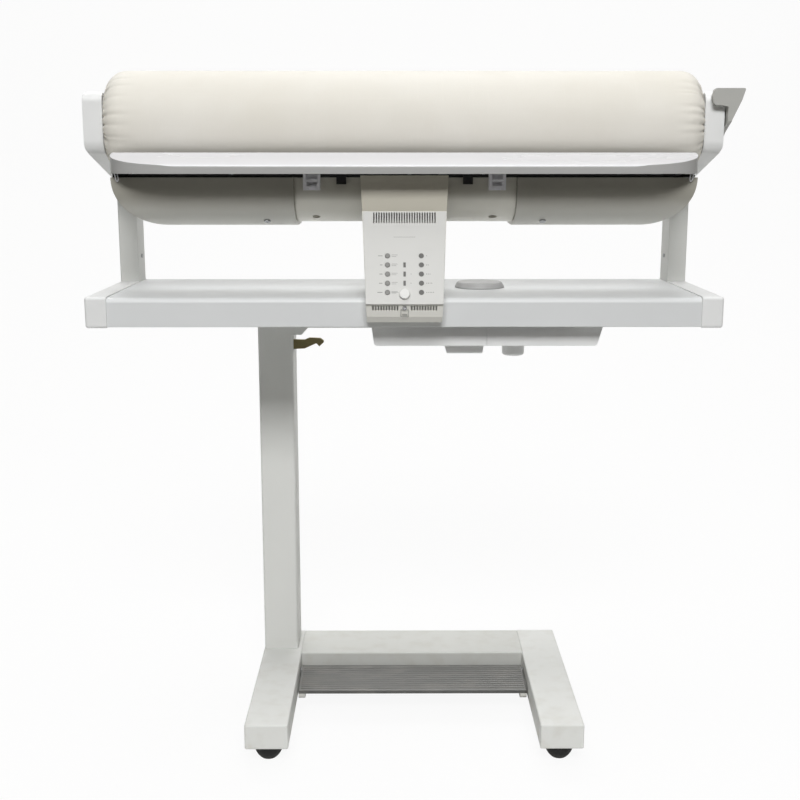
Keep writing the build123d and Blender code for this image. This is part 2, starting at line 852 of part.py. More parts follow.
def board_clip(x):
    back = cover_front + centre_inset
    front = back - clip_thick
    left = x - clip_width / 2
    right = x + clip_width / 2
    top = under_board(front) - 4
    clip = block(left, right, front, back, clip_low, top)
    clip -= block(left + 5, right - 5, front, back - 2, clip_low + 6, clip_low + 11)
    clip -= block(left + 4, right - 4, front, back - 2, clip_low + 15, top - 2)
    return clip - block(left + 7, right - 7, front, back - 2, clip_low, clip_low + 3)


def board_bumper(x):
    back = cover_front + centre_inset
    front = back - clip_thick
    return block(x - bumper_width / 2, x + bumper_width / 2, front, back, bumper_low,
                 under_board(front))


def on_cover(x, inset):
    # a place on the covers' curved front, looking in along the surface normal
    depth = cover_curve_depth - inset
    height = cover_curve_height - inset
    from_mid = (screw_y - cover_front - inset - depth) / depth
    rise = (1 - from_mid ** 2) ** 0.5
    lean = degrees(atan2(from_mid / depth, rise / height))
    return Pos(x, screw_y, cover_low + inset + height * (1 - rise)) * Rot(lean, 0, 0)


def cover_screw(x, inset, sunk):
    head = Cylinder(cover_screw_radius, 2)
    head -= Pos(0, 0, -1) * Box(1, 5.5, 1)
    head -= Pos(0, 0, -1) * Box(5.5, 1, 1)
    return on_cover(x, inset) * Pos(0, 0, sunk - 1) * head


# ---- feed board

def board_plan(inset, back):
    half = board_half_length - inset
    shoulder = board_half_length - board_curve_length
    front = board_front + inset
    side = board_front + board_curve_depth
    length = board_curve_length - inset
    depth = board_curve_depth - inset
    edges = [
        Line((-shoulder, front), (shoulder, front)),
        EllipticalCenterArc((shoulder, side), length, depth, start_angle=-90, arc_size=90),
        Line((half, side), (half, back)),
        Line((half, back), (-half, back)),
        Line((-half, back), (-half, side)),
        EllipticalCenterArc((-shoulder, side), length, depth, start_angle=180, arc_size=90),
    ]
    return make_face(edges)


def board_side(drop, back):
    top = board_front_top + (back - board_front) * board_slope
    return outline([(board_front, board_low), (board_front, board_front_top - drop),
                    (back, top - drop), (back, board_low)], [0, board_nose - drop, 0, 0])


def feed_board():
    # a shell open below and behind, so that it can tip up over its lugs
    reach = board_half_length
    open_back = board_back + board_wall
    outer = along_z(board_plan(0, board_back), board_low, board_back_top)
    outer &= along_x(board_side(0, board_back), -reach, reach)
    inner = along_z(board_plan(board_wall, open_back), board_low, board_back_top)
    inner &= along_x(board_side(board_wall, open_back), -reach, reach)
    board = outer - inner
    return board - rod_x(board_axis_y, board_axis_z, board_pin_radius + running_gap, -reach, reach)


# ---- control housing

def housing_front(inset):
    low = housing_low_half - inset
    top = housing_top_half - inset
    return outline([(-low, housing_low), (low, housing_low), (top, housing_top), (-top, housing_top)])


def housing_side(inset):
    # behind the front panel the wall stands back by the panel's thickness
    back = panel_thick / cos(radians(panel_tilt)) + inset
    return outline([
        (neck_front + inset, housing_top - inset), (panel_top_y + back, panel_top_z),
        (panel_low_y + back, panel_low_z), (strip_low_y + inset, strip_low_z),
        (-housing_foot_reach + inset, housing_low + inset), (-inset, housing_low + inset),
        (-inset, shelf_top + inset), (housing_back - inset, shelf_top + inset),
        (housing_back - inset, housing_back_top - inset), (neck_back + 6 - inset, housing_back_top - inset),
        (neck_back - inset, housing_back_top + 33), (neck_back - inset, housing_top - inset)],
        [1, 0, 1, 1, 3, 0, 0, 3, 6, 4, 4, 1])


def control_housing():
    outer = along_y(housing_front(0), panel_low_y, housing_back) & along_x(
        housing_side(0), -housing_top_half, housing_top_half)
    inner = along_y(housing_front(housing_wall), panel_low_y, housing_back) & along_x(
        housing_side(housing_wall), -housing_top_half, housing_top_half)
    shell = outer - inner
    window = outline([(panel_low_y - 2, panel_low_z + 1.8), (panel_top_y - 2, panel_top_z - 2.5),
                      (panel_top_y + 8, panel_top_z - 2.5), (panel_low_y + 8, panel_low_z + 1.8)])
    shell -= along_x(window, -46, 46)
    shell -= rod_z(0, push_y, push_radius + running_gap, housing_back_top - housing_wall,
                   housing_back_top)
    for step in range(strip_slot_count):
        x = strip_slot_start + step * strip_slot_pitch
        for side in (-1, 1):
            shell -= block(side * x - 0.9, side * x + 0.9, panel_low_y, panel_low_y + 12,
                           strip_slot_low, strip_slot_high)
    return shell


def on_panel(x, drop, depth=0.0):
    # a place on the front panel, drop below its top edge, depth behind its face
    return Pos(0, panel_top_y, panel_top_z) * Rot(90 - panel_tilt, 0, 0) * Pos(x, -drop, -depth)


def front_panel():
    plate = extrude(make_face(Polyline(
        (-panel_top_half, 0), (panel_top_half, 0), (panel_low_half, -panel_length),
        (-panel_low_half, -panel_length), close=True)), -panel_thick)
    plate = on_panel(0, 0) * plate
    cutter = Cylinder(key_radius + slide_gap, 4 * panel_thick)
    for row in range(key_rows):
        drop = key_first + row * key_pitch
        plate -= on_panel(key_column, drop) * cutter
        plate -= on_panel(lamp_column, drop) * Cylinder(key_radius, 4 * panel_thick)
    for row in range(1, 4):
        plate -= on_panel(0, key_first + row * key_pitch) * Box(window_width, window_height,
                                                               4 * panel_thick)
    plate -= on_panel(0, start_drop) * Cylinder(start_radius + slide_gap, 4 * panel_thick)
    for slot in range(vent_count):
        x = (slot - (vent_count - 1) / 2) * vent_pitch
        plate -= on_panel(x, vent_drop) * Box(vent_width, vent_height, 4 * panel_thick)
    return plate


def round_key(x, drop, radius, proud, depth, flange_radius, round_off):
    stem = Pos(0, 0, (proud - depth) / 2) * Cylinder(radius, proud + depth)
    stem = fillet(stem.edges().sort_by(Axis.Z)[-1], round_off)
    flange_top = -panel_thick - seat_gap
    flange = Pos(0, 0, flange_top - key_flange / 2) * Cylinder(flange_radius, key_flange)
    return on_panel(x, drop) * (stem + flange)


def program_key(row):
    return round_key(key_column, key_first + row * key_pitch, key_radius, key_proud, key_depth,
                     key_flange_radius, 0.5)


def start_button():
    return round_key(0, start_drop, start_radius, start_proud, key_depth, start_radius + 1.4, 1.5)


def indicator_lenses():
    lenses = []
    for row in range(key_rows):
        drop = key_first + row * key_pitch
        lens = Pos(0, 0, (lens_proud - panel_thick) / 2) * Cylinder(key_radius, lens_proud + panel_thick)
        lenses.append(on_panel(lamp_column, drop) * lens)
    for row in range(1, 4):
        pane = Pos(0, 0, -panel_thick / 2) * Box(window_width, window_height, panel_thick)
        lenses.append(on_panel(0, key_first + row * key_pitch) * pane)
    return lenses


def circuit_board():
    height = panel_length - 40.6
    board = Pos(0, -height / 2, 0) * Box(84, height, 1.6)
    board += Pos(-20, -20, -3) * Box(20, 12, 5)
    board += Pos(18, -34, -4) * Box(14, 22, 7)
    spacer = board_behind - panel_thick - 0.8
    for x in (-38, 38):
        for drop in (4, height - 6):
            board += Pos(x, -drop, 0.8 + spacer / 2) * Cylinder(2.5, spacer)
    return on_panel(0, board_drop, board_behind) * board


def press_motor():
    floor = shelf_top + housing_wall
    shoulder = push_motor_top - 8
    body = block(-34, 34, push_y - 45, push_y + 18, floor, shoulder)
    body = fillet(body.edges().filter_by(Axis.Z), 6)
    return body + rod_z(0, push_y, 12, shoulder, push_motor_top)


def push_rod():
    shaft = rod_z(0, push_y, push_radius, push_motor_top + seat_gap, lift_boss_low - seat_gap)
    return fillet(shaft.edges().sort_by(Axis.Z)[-1], 3)


# ---- steam unit

def tray_outline(inset, low):
    top = rail_low
    left = tray_left + inset
    right = tray_right - inset
    return outline([(left, top), (left + tray_taper / 2, low), (right - tray_taper, low), (right, top)],
                   [0, 5, 5, 0])


def tray(x0, x1):
    outer = along_y(tray_outline(0, tray_low), tray_front, tray_back)
    inner = along_y(tray_outline(tray_wall, tray_low + tray_wall), tray_front + tray_wall,
                    tray_back - tray_wall)
    shell = outer - inner
    shell &= block(x0, x1, tray_front, tray_back, tray_low, rail_low)
    return shell


def steam_tray():
    shell = tray(tray_left, tray_seam - seat_gap / 2)
    return shell - block(pump_left + 8, pump_right - 8, pump_front + 8, pump_back - 8, tray_low,
                         tray_low + tray_wall)


def tank_tray():
    shell = tray(tray_seam + seat_gap / 2, tray_right)
    return shell - rod_z(drain_x, drain_y, spout_radius + 1, tray_low, tray_low + tray_wall)


def pump_cover():
    outer = along_y(outline([(pump_left, tray_low), (pump_left + pump_taper, pump_low),
                             (pump_right - 2, pump_low), (pump_right, tray_low)], [0, 2, 2, 0]),
                    pump_front, pump_back)
    wall = tray_wall
    inner = along_y(outline([(pump_left + wall, tray_low), (pump_left + pump_taper + wall, pump_low + wall),
                             (pump_right - 2 - wall, pump_low + wall), (pump_right - wall, tray_low)]),
                    pump_front + wall, pump_back - wall)
    return outer - inner


def water_pump():
    body = block(pump_left + 12, pump_right - 12, pump_front + 12, pump_back - 12,
                 pump_low + tray_wall, tray_low + tray_wall - seat_gap)
    body = fillet(body.edges().filter_by(Axis.Z), 4)
    return body


def boiler():
    floor = tray_low + tray_wall
    shell = rod_x(boiler_y, floor + boiler_radius, boiler_radius, boiler_left,
                  boiler_left + boiler_length)
    return shell - rod_x(boiler_y, floor + boiler_radius, boiler_radius - 2, boiler_left + 2,
                         boiler_left + boiler_length - 2) + rod_x(
        boiler_y, floor + boiler_radius, 3, boiler_left - 8, boiler_left + 6)


def water_tank():
    floor = tray_low + tray_wall
    outer = block(tank_left, tank_right, tank_front, tank_back, floor, tank_top)
    outer = fillet(outer.edges().filter_by(Axis.Z), 6)
    outer += rod_z(filler_x, filler_y, filler_plug_radius + filler_neck_wall, tank_top, shelf_top)
    outer += rod_z(drain_x, drain_y, spout_radius, drain_low + 6, floor)
    wall = tank_wall
    outer -= block(tank_left + wall, tank_right - wall, tank_front + wall, tank_back - wall,
                   floor + wall, tank_top - wall)
    outer -= rod_z(filler_x, filler_y, filler_plug_radius + slide_gap, tank_top - wall, shelf_top)
    return outer - rod_z(drain_x, drain_y, spout_radius - 3, drain_low + 6, floor + wall)


def filler_cap():
    low = shelf_top + seat_gap
    top = low + filler_height
    side = [
        Line((0, low), (filler_radius, low)),
        Line((filler_radius, low), (filler_radius, low + 1.5)),
        Line((filler_radius, low + 1.5), (filler_top_radius + 1.5, top - 1)),
        Line((filler_top_radius + 1.5, top - 1), (filler_top_radius, top)),
        Line((filler_top_radius, top), (0, top)),
        Line((0, top), (0, low)),
    ]
    cap = revolve(Plane.XZ * make_face(side), Axis.Z)
    cap += rod_z(0, 0, filler_plug_radius, low - 14, low)
    return Pos(filler_x, filler_y, 0) * cap


def drain_cap():
    top = tray_low - seat_gap
    cap = rod_z(drain_x, drain_y, drain_radius, drain_low, top)
    cap = fillet(cap.edges().sort_by(Axis.Z)[0], 4)
    return cap - rod_z(drain_x, drain_y, spout_radius + running_gap, drain_low + 6 - seat_gap, top)


def mains_inlet():
    low = tray_low + 5
    right = inlet_left + 28
    socket = block(inlet_left, right, tray_back, tray_back + 9, low, low + 20)
    socket = fillet(socket.edges().filter_by(Axis.Y), 2)
    return socket - rod_y(inlet_left + 14, low + 10, 4, tray_back + 3, tray_back + 9)


# ---- release handle

def release_handle():
    low_z = handle_top - handle_length
    side_x = arm_outer + handle_gap
    blade = outline([
        (arm_outer - 17.7, handle_top), (handle_right, handle_top),
        (handle_right - 5, handle_top - 16), (side_x, low_z), (side_x, handle_top - 25),
        (arm_outer - 6.7, handle_top - 23), (arm_outer - 17.7, handle_top - 23),
        (arm_outer - 20.7, handle_top - 12)], [5, 2, 8, 3, 2, 4, 5, 8])
    back = handle_blade_front + handle_blade
    handle = along_y(blade, handle_blade_front, back)
    side = outline([
        (handle_blade_front, low_z + 12), (handle_blade_front, handle_top - 9),
        (back, handle_top - 9), (roller_y + 10, roller_z + 12),
        (roller_y, roller_z - handle_hub_radius)], [0, 0, 3, 8, 8])
    handle += along_x(side, side_x, side_x + handle_thick)
    handle += rod_x(roller_y, roller_z, handle_hub_radius, side_x, side_x + handle_thick)
    return handle - rod_x(roller_y, roller_z, hinge_pin_radius + running_gap, side_x,
                          side_x + handle_thick)


def handle_pin():
    pin = rod_x(roller_y, roller_z, hinge_pin_radius, arm_outer, arm_outer + handle_gap + handle_thick)
    head = arm_outer + handle_gap + handle_thick + seat_gap
    pin += rod_x(roller_y, roller_z, hinge_pin_radius, head - seat_gap, head)
    return pin + rod_x(roller_y, roller_z, hinge_pin_radius + 3, head, head + 2)


def trim_screw():
    return Pos(0, 0, 0.7) * (Cylinder(3, 1.4) - Pos(0, 0, 0.5) * Box(4, 0.9, 0.6))


def trim_screws():
    screws = [Pos(side * panel_half_length, post_front + 24.5, shelf_top + 38.2)
              * Rot(0, -90 * side, 0) * trim_screw() for side in (-1, 1)]
    strip_top_y = panel_low_y + panel_thick / cos(radians(panel_tilt))
    lean = atan2(strip_low_y - strip_top_y, panel_low_z - strip_low_z)
    z = (strip_slot_low + strip_slot_high) / 2
    y = strip_top_y + (panel_low_z - z) * sin(lean) / cos(lean)
    screws.append(Pos(0, y, z) * Rot(90 + degrees(lean), 0, 0) * trim_screw())
    return screws


nodes = {
    "base_left_foot": foot(base_left, left_foot_inner - base_wall),
    "base_right_foot": foot(right_foot_inner, right_foot_inner),
    "base_crossbar": crossbar(),
    "foot_rear_plugs": [foot_plug(base_left), foot_plug(right_foot_inner)],
    "floor_glides": [floor_glide(x, y) for x in (base_left + foot_width / 2,
                                                 base_right - foot_width / 2) for y in glide_rows],
    "column_tube": column(),
    "pivot_bracket": pivot_bracket(),
    "stand_pins": [fold_pin(), latch_pin(), treadle_rod()],
    "head_rest_pad": rest_pad(),
    "latch_lever": latch_lever(),
    "treadle_switch": treadle_switch(),
    "treadle_plate": treadle(),
    "treadle_end_shoes": treadle_shoes(),
    "shelf_panel": shelf_panel(),
    "shelf_end_caps": [shelf_end_cap(), mirrored(shelf_end_cap())],
    "underframe": underframe(),
    "left_post": mirrored(post()),
    "right_post": post(),
    "left_arm_cover": mirrored(arm_cover(motor_radius + seat_gap)),
    "right_arm_cover": arm_cover(bearing_radius + running_gap),
    "roller_bearing": roller_bearing(),
    "roller_motor": roller_motor(),
    "head_pins": [hinge_pin(), mirrored(hinge_pin()), handle_pin()],
    "control_housing": control_housing(),
    "front_panel": front_panel(),
    "indicator_lenses": indicator_lenses(),
    "circuit_board": circuit_board(),
    "press_motor": press_motor(),
    "trim_screws": trim_screws(),
    "steam_tray": steam_tray(),
    "tank_tray": tank_tray(),
    "pump_cover": pump_cover(),
    "water_pump": water_pump(),
    "steam_boiler": boiler(),
    "water_tank": water_tank(),
    "mains_inlet": mains_inlet(),
    "filler_cap": filler_cap(),
    "drain_cap": drain_cap(),
    "roller_core": roller_core(),
    "roller_hubs": roller_hubs(),
    "roller_cover": roller_cover(),
    "shoe_trough": shoe_trough(),
    "heating_rods": heating_rods(),
    "shoe_end_plates": [end_plate(), mirrored(end_plate())],
    "left_shoe_cover": mirrored(side_cover(cover_seam - centre_left)),
    "centre_shoe_cover": centre_cover(),
    "right_shoe_cover": side_cover(centre_right + cover_seam),
    "front_bridge": front_bridge(),
    "board_clips": [board_clip(x) for x in clip_places],
    "board_bumpers": [board_bumper(x) for x in bumper_places],
    "cover_screws": [cover_screw(x, 0, 0) for x in side_screws]
    + [cover_screw(x, centre_inset, well_depth) for x in sunk_screws],
    "feed_board": feed_board(),
    "push_rod": push_rod(),
    "release_handle": release_handle(),
    "start_button": start_button(),
}
for row in range(key_rows):
    nodes["program_key_" + str(row + 1)] = program_key(row)

os.makedirs("parts", exist_ok=True)
to_origin = Location((-middle_x, -middle_y, 0))
for name, shape in nodes.items():
    if isinstance(shape, list):
        shape = Compound(children=[piece.solid() for piece in shape])
    export_step(shape.moved(to_origin), "parts/" + name + ".step")
print(len(nodes), "nodes; origin at", round(middle_x, 2), round(middle_y, 2))
print("open shoe centre", round(shoe_y, 2), round(shoe_z, 2))
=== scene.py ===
import json
import math
import random

import bmesh
import bpy
from mathutils import Euler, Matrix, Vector, noise


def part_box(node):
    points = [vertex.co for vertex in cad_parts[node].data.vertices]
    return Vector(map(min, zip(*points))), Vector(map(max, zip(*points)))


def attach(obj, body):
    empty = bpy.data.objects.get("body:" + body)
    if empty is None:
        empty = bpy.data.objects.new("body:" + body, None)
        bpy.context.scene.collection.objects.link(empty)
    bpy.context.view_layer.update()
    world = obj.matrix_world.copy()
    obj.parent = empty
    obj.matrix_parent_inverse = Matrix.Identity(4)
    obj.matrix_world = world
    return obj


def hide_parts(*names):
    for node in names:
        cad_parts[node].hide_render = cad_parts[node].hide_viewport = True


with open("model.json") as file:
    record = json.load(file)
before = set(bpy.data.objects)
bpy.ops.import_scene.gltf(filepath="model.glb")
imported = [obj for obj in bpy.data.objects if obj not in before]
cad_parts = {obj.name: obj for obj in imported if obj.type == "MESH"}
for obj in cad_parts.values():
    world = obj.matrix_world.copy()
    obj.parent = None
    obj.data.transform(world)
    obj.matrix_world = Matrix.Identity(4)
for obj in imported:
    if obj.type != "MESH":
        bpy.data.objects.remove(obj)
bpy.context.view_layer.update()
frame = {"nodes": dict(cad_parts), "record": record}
nodes = frame["nodes"]


# ---- small tools for the finishes

def tone(code):                                # "e6e7e5" as the shader's linear colour
    parts = [int(code[i:i + 2], 16) / 255 for i in (0, 2, 4)]
    return [c / 12.92 if c <= 0.04045 else ((c + 0.055) / 1.055) ** 2.4 for c in parts] + [1.0]


class Wire:                                    # one output socket that takes arithmetic
    def __init__(self, graph, socket):
        self.graph = graph
        self.socket = socket

    def __add__(self, other):
        return self.graph.math("ADD", self, other)

    def __sub__(self, other):
        return self.graph.math("SUBTRACT", self, other)

    def __rsub__(self, other):
        return self.graph.math("SUBTRACT", other, self)

    def __mul__(self, other):
        return self.graph.math("MULTIPLY", self, other)

    def __gt__(self, other):
        return self.graph.math("GREATER_THAN", self, other)

    __radd__ = __add__

    def sine(self):
        return self.graph.math("SINE", self)

    def size(self):
        return self.graph.math("ABSOLUTE", self)

    def __getitem__(self, name):               # another output of the same node
        return Wire(self.graph, self.socket.node.outputs[name])


class Graph:                                   # a node tree under construction
    def __init__(self, tree):
        self.tree = tree

    def node(self, kind, settings, inputs):    # settings first, then values or links
        made = self.tree.nodes.new(kind)
        for name, value in settings.items():
            setattr(made, name, value)
        for name, value in inputs.items():
            if isinstance(value, Wire):
                self.tree.links.new(value.socket, made.inputs[name])
            else:
                made.inputs[name].default_value = value
        return Wire(self, next((out for out in made.outputs if out.enabled), None))

    def math(self, operation, *values):
        return self.node("ShaderNodeMath", {"operation": operation}, dict(enumerate(values)))


class Finish(Graph):                           # a material, with names for its usual steps
    def __init__(self, name, **fixed):
        self.material = bpy.data.materials.new(name)
        self.material.use_nodes = True
        super().__init__(self.material.node_tree)
        self.shader = self.tree.nodes["Principled BSDF"]
        for socket, value in fixed.items():
            self.shader.inputs[socket.replace("_", " ")].default_value = value
        self.place = self.node("ShaderNodeTexCoord", {}, {})["Object"]

    def cloud(self, scale, detail=2.0, stretch=(1, 1, 1), place=None):     # soft noise
        spot = place or self.place
        if stretch != (1, 1, 1):
            spot = self.node("ShaderNodeMapping", {}, {"Vector": spot, "Scale": stretch})
        return self.node("ShaderNodeTexNoise", {}, {"Vector": spot, "Scale": scale,
                                                    "Detail": detail})

    def cells(self, scale):                    # grains with sharp borders
        return self.node("ShaderNodeTexVoronoi", {}, {"Vector": self.place, "Scale": scale})

    def ramp(self, value, low, high):          # 0 at low, 1 at high, smooth between
        return self.node("ShaderNodeMapRange", {"interpolation_type": "SMOOTHSTEP"},
                         {"Value": value, 1: low, 2: high})

    def mix(self, amount, first, second):      # 6 and 7 are the node's colour sockets
        return self.node("ShaderNodeMix", {"data_type": "RGBA"}, {0: amount, 6: first, 7: second})

    def tint(self, colour, amount):            # colour made lighter or darker by a number
        return self.node("ShaderNodeVectorMath", {"operation": "SCALE"},
                         {0: colour, "Scale": amount})

    def base(self, code, amount):              # the ground colour under everything else
        return self.tint(tone(code)[:3], amount)

    def axis(self, letter, place=None):
        return self.node("ShaderNodeSeparateXYZ", {}, {0: place or self.place})[letter]

    def facing(self):                          # which way the piece's own surface looks
        return self.node("ShaderNodeTexCoord", {}, {})["Normal"]

    def softEdges(self, radius):
        return self.node("ShaderNodeBevel", {"samples": 6}, {"Radius": radius})

    def edges(self, soft, gain):               # 1 along sharp edges, 0 on flats
        flat = self.node("ShaderNodeNewGeometry", {}, {})["Normal"]
        along = self.node("ShaderNodeVectorMath", {"operation": "DOT_PRODUCT"},
                          {0: soft, 1: flat})["Value"]
        return self.ramp((1 - along) * gain, 0.0, 1.0)

    def relief(self, height, depth, strength, under=None):
        inputs = {"Strength": strength, "Distance": depth, "Height": height}
        if under is not None:
            inputs["Normal"] = under
        return self.node("ShaderNodeBump", {}, inputs)

    def feed(self, **inputs):
        for name, value in inputs.items():
            self.tree.links.new(value.socket, self.shader.inputs[name.replace("_", " ")])
        return self.material


# ---- finishes of the carried-over parts; each row of a table adds to the look they share

paints = {                                     # stoved enamel on sheet steel
    "frame_paint": {"colour": "dbdcd9", "dust": "b9b4a8", "peel": 520, "gloss": 0.40},
    "shelf_paint": {"colour": "dddfe0", "dust": "c9c6bd", "peel": 480, "gloss": 0.36},
    # painted shade: the crossbar gets a darker copy of the frame paint
    "crossbar_paint": {"colour": "cecfcb", "dust": "b4afa3", "peel": 520, "gloss": 0.40},
    # painted shadow: the top band of the covers is darkened where the feed board shades them
    "cover_paint": {"colour": "d0cfc8", "dust": "a8a498", "peel": 560, "gloss": 0.30,
                    "boardShadowBand": (0.768, 0.791), "boardShadowTone": 0.52},
    # painted light: the centre cover gets a lighter copy of the cover paint; its top band is
    # painted shadow
    "centre_paint": {"colour": "edebe2", "dust": "a8a498", "peel": 560, "gloss": 0.30,
                     "boardShadowBand": (0.785, 0.800), "boardShadowTone": 0.42},
    "motor_paint": {"colour": "46494c", "dust": "6d6a64", "peel": 420, "gloss": 0.50},
}
# the edge colour and its tone below give a painted highlight along sharp edges
enamelLook = {"rounding": 0.0011, "edge": "f4f4f1", "edgeGain": 2.2, "edgeHighlightTone": 0.12,
              "edgeGloss": 0.06, "drift": 5.0, "light": 0.965, "driftTone": 0.07,
              "driftGloss": 0.08, "specks": 1500, "speckRange": (0.68, 0.78),
              "speckTone": 0.10, "dustTop": 0.11, "patches": 38, "patchRange": (0.42, 0.75),
              "dustTone": 0.45, "dustGloss": 0.25, "hairs": 90, "hairRun": (1, 1, 0.03),
              "hairRange": (0.69, 0.74), "hairGloss": 0.10, "hairHeight": 0.25,
              # the dark warm colour below is the painted shadow of the feed board on the covers
              "boardShadowColour": "57503c", "depth": 0.00005, "strength": 0.55}


def enamel(name, paint):
    look = enamelLook | paint
    finish = Finish(name)
    soft = finish.softEdges(look["rounding"])
    edge = finish.edges(soft, look["edgeGain"])
    drift = finish.cloud(look["drift"], 3.0)
    peel = finish.cloud(look["peel"], 1.0)
    specks = finish.ramp(finish.cloud(look["specks"], 2.0), *look["speckRange"])
    patches = finish.ramp(finish.cloud(look["patches"], 4.0), *look["patchRange"])
    low = finish.ramp(finish.axis("Z"), look["dustTop"], 0.0) * patches
    hairs = finish.ramp(finish.cloud(look["hairs"], 3.0, look["hairRun"]), *look["hairRange"])
    colour = finish.base(look["colour"], look["light"] + drift * look["driftTone"])
    colour = finish.mix(specks * look["speckTone"], colour, tone(look["dust"]))
    colour = finish.mix(low * look["dustTone"], colour, tone(look["dust"]))
    # painted highlight: sharp edges are lightened towards the pale edge colour
    colour = finish.mix(edge * look["edgeHighlightTone"], colour, tone(look["edge"]))
    if "boardShadowBand" in look:                      # painted shadow: the covers are darkened towards the top, under the feed board
        near = finish.ramp(finish.axis("Z"), *look["boardShadowBand"])
        colour = finish.mix(near * look["boardShadowTone"], colour, tone(look["boardShadowColour"]))
    rough = (look["gloss"] + drift * look["driftGloss"] + low * look["dustGloss"]
             + hairs * look["hairGloss"] - edge * look["edgeGloss"])
    normal = finish.relief(peel + hairs * look["hairHeight"], look["depth"], look["strength"],
                           soft)
    return finish.feed(Base_Color=colour, Roughness=rough, Normal=normal)


mouldings = {                                  # grained or polished plastic mouldings
    "shell_plastic": {"colour": "e9eaea", "grain": 1500, "depth": 0.00006, "gloss": 0.44},
    "panel_plastic": {"colour": "cfcfcc", "grain": 2400, "depth": 0.00002, "gloss": 0.50},
    "housing_plastic": {"colour": "e3e2dc", "grain": 1500, "depth": 0.00006, "gloss": 0.46,
                        # painted shade: the darker tone of the neck, and the height where it
                        # starts
                        "neck": "c2beb1", "neckFrom": 0.7727},
    "button_plastic": {"colour": "e2e2e0", "grain": 1900, "depth": 0.00002, "gloss": 0.50},
    "key_plastic": {"colour": "868683", "grain": 2000, "depth": 0.00003, "gloss": 0.58},
    "handle_plastic": {"colour": "b4b4b0", "grain": 1500, "depth": 0.00005, "gloss": 0.40},
    "cap_plastic": {"colour": "a9a9a9", "grain": 1800, "depth": 0.00004, "gloss": 0.42},
    "white_plastic": {"colour": "ececf1", "grain": 1900, "depth": 0.00002, "gloss": 0.27},
    "treadle_shoe_plastic": {"colour": "d2d1cc", "grain": 1100, "depth": 0.00007, "gloss": 0.50},
    "dark_plastic": {"colour": "26262a", "grain": 1300, "depth": 0.00005, "gloss": 0.46},
    "tank_plastic": {"colour": "dfe4e8", "grain": 700, "depth": 0.00005, "gloss": 0.30},
}
mouldingLook = {"coat": 0.04, "coatGloss": 0.3, "rounding": 0.0009, "edgeGain": 2.0,
                "edgeHighlightTone": 0.03, "edgeGloss": 0.05, "flow": 9.0, "flowRun": (1, 1, 2.2),
                "light": 0.975, "flowTone": 0.05, "flowGloss": 0.06, "fine": 0.6,
                "rub": 55, "rubRun": (0.25, 1, 1), "rubRange": (0.60, 0.78),
                "rubTone": 0.035, "rubGloss": 0.12, "strength": 0.7}


def moulding(name, plastic):
    look = mouldingLook | plastic
    finish = Finish(name, Coat_Weight=look["coat"], Coat_Roughness=look["coatGloss"])
    soft = finish.softEdges(look["rounding"])
    edge = finish.edges(soft, look["edgeGain"])
    flow = finish.cloud(look["flow"], 3.0, look["flowRun"])
    fine = finish.cloud(look["grain"] * look["fine"], 2.0) * look["fine"]
    grain = finish.cells(look["grain"])["Distance"] + fine
    rub = finish.ramp(finish.cloud(look["rub"], 4.0, look["rubRun"]), *look["rubRange"])
    colour = finish.base(look["colour"], look["light"] + flow * look["flowTone"])
    if "neck" in look:                         # painted shade: the neck under the feed board is darkened above this height
        shadedNeck = finish.axis("Z") > look["neckFrom"]
        colour = finish.mix(shadedNeck, colour, tone(look["neck"]))
    # darker where rubbed; painted highlight: sharp edges are lightened
    colour = finish.tint(colour, 1.0 - rub * look["rubTone"] + edge * look["edgeHighlightTone"])
    rough = (look["gloss"] + flow * look["flowGloss"] + rub * look["rubGloss"]
             - edge * look["edgeGloss"])
    normal = finish.relief(grain, look["depth"], look["strength"], soft)
    return finish.feed(Base_Color=colour, Roughness=rough, Normal=normal)


laminateLook = {"top": "e6e6ea", "front": "b2b2b1", "gloss": 0.22, "coat": 0.12,
                "coatGloss": 0.18, "rounding": 0.0014, "upRange": (0.25, 0.75),
                "brush": 420, "brushRun": (0.05, 1, 1), "light": 0.985, "brushTone": 0.03,
                "brushGloss": 0.04, "worn": 14, "wornRun": (0.35, 1, 1),
                "wornRange": (0.52, 0.80), "wornTone": 0.03, "wornGloss": 0.16,
                "depth": 0.00001, "strength": 0.5}


def boardLaminate(name, look):                 # pale on faces that look up, greyer on the faces that look to the front and down
    finish = Finish(name, Coat_Weight=look["coat"], Coat_Roughness=look["coatGloss"])
    soft = finish.softEdges(look["rounding"])
    up = finish.ramp(finish.axis("Z", finish.facing()), *look["upRange"])
    brushed = finish.cloud(look["brush"], 3.0, look["brushRun"])
    worn = finish.ramp(finish.cloud(look["worn"], 5.0, look["wornRun"]), *look["wornRange"])
    colour = finish.mix(up, tone(look["front"]), tone(look["top"]))
    colour = finish.tint(colour, look["light"] + brushed * look["brushTone"]
                         - worn * look["wornTone"])
    rough = look["gloss"] + worn * look["wornGloss"] + brushed * look["brushGloss"]
    normal = finish.relief(brushed, look["depth"], look["strength"], soft)
    return finish.feed(Base_Color=colour, Roughness=rough, Normal=normal)


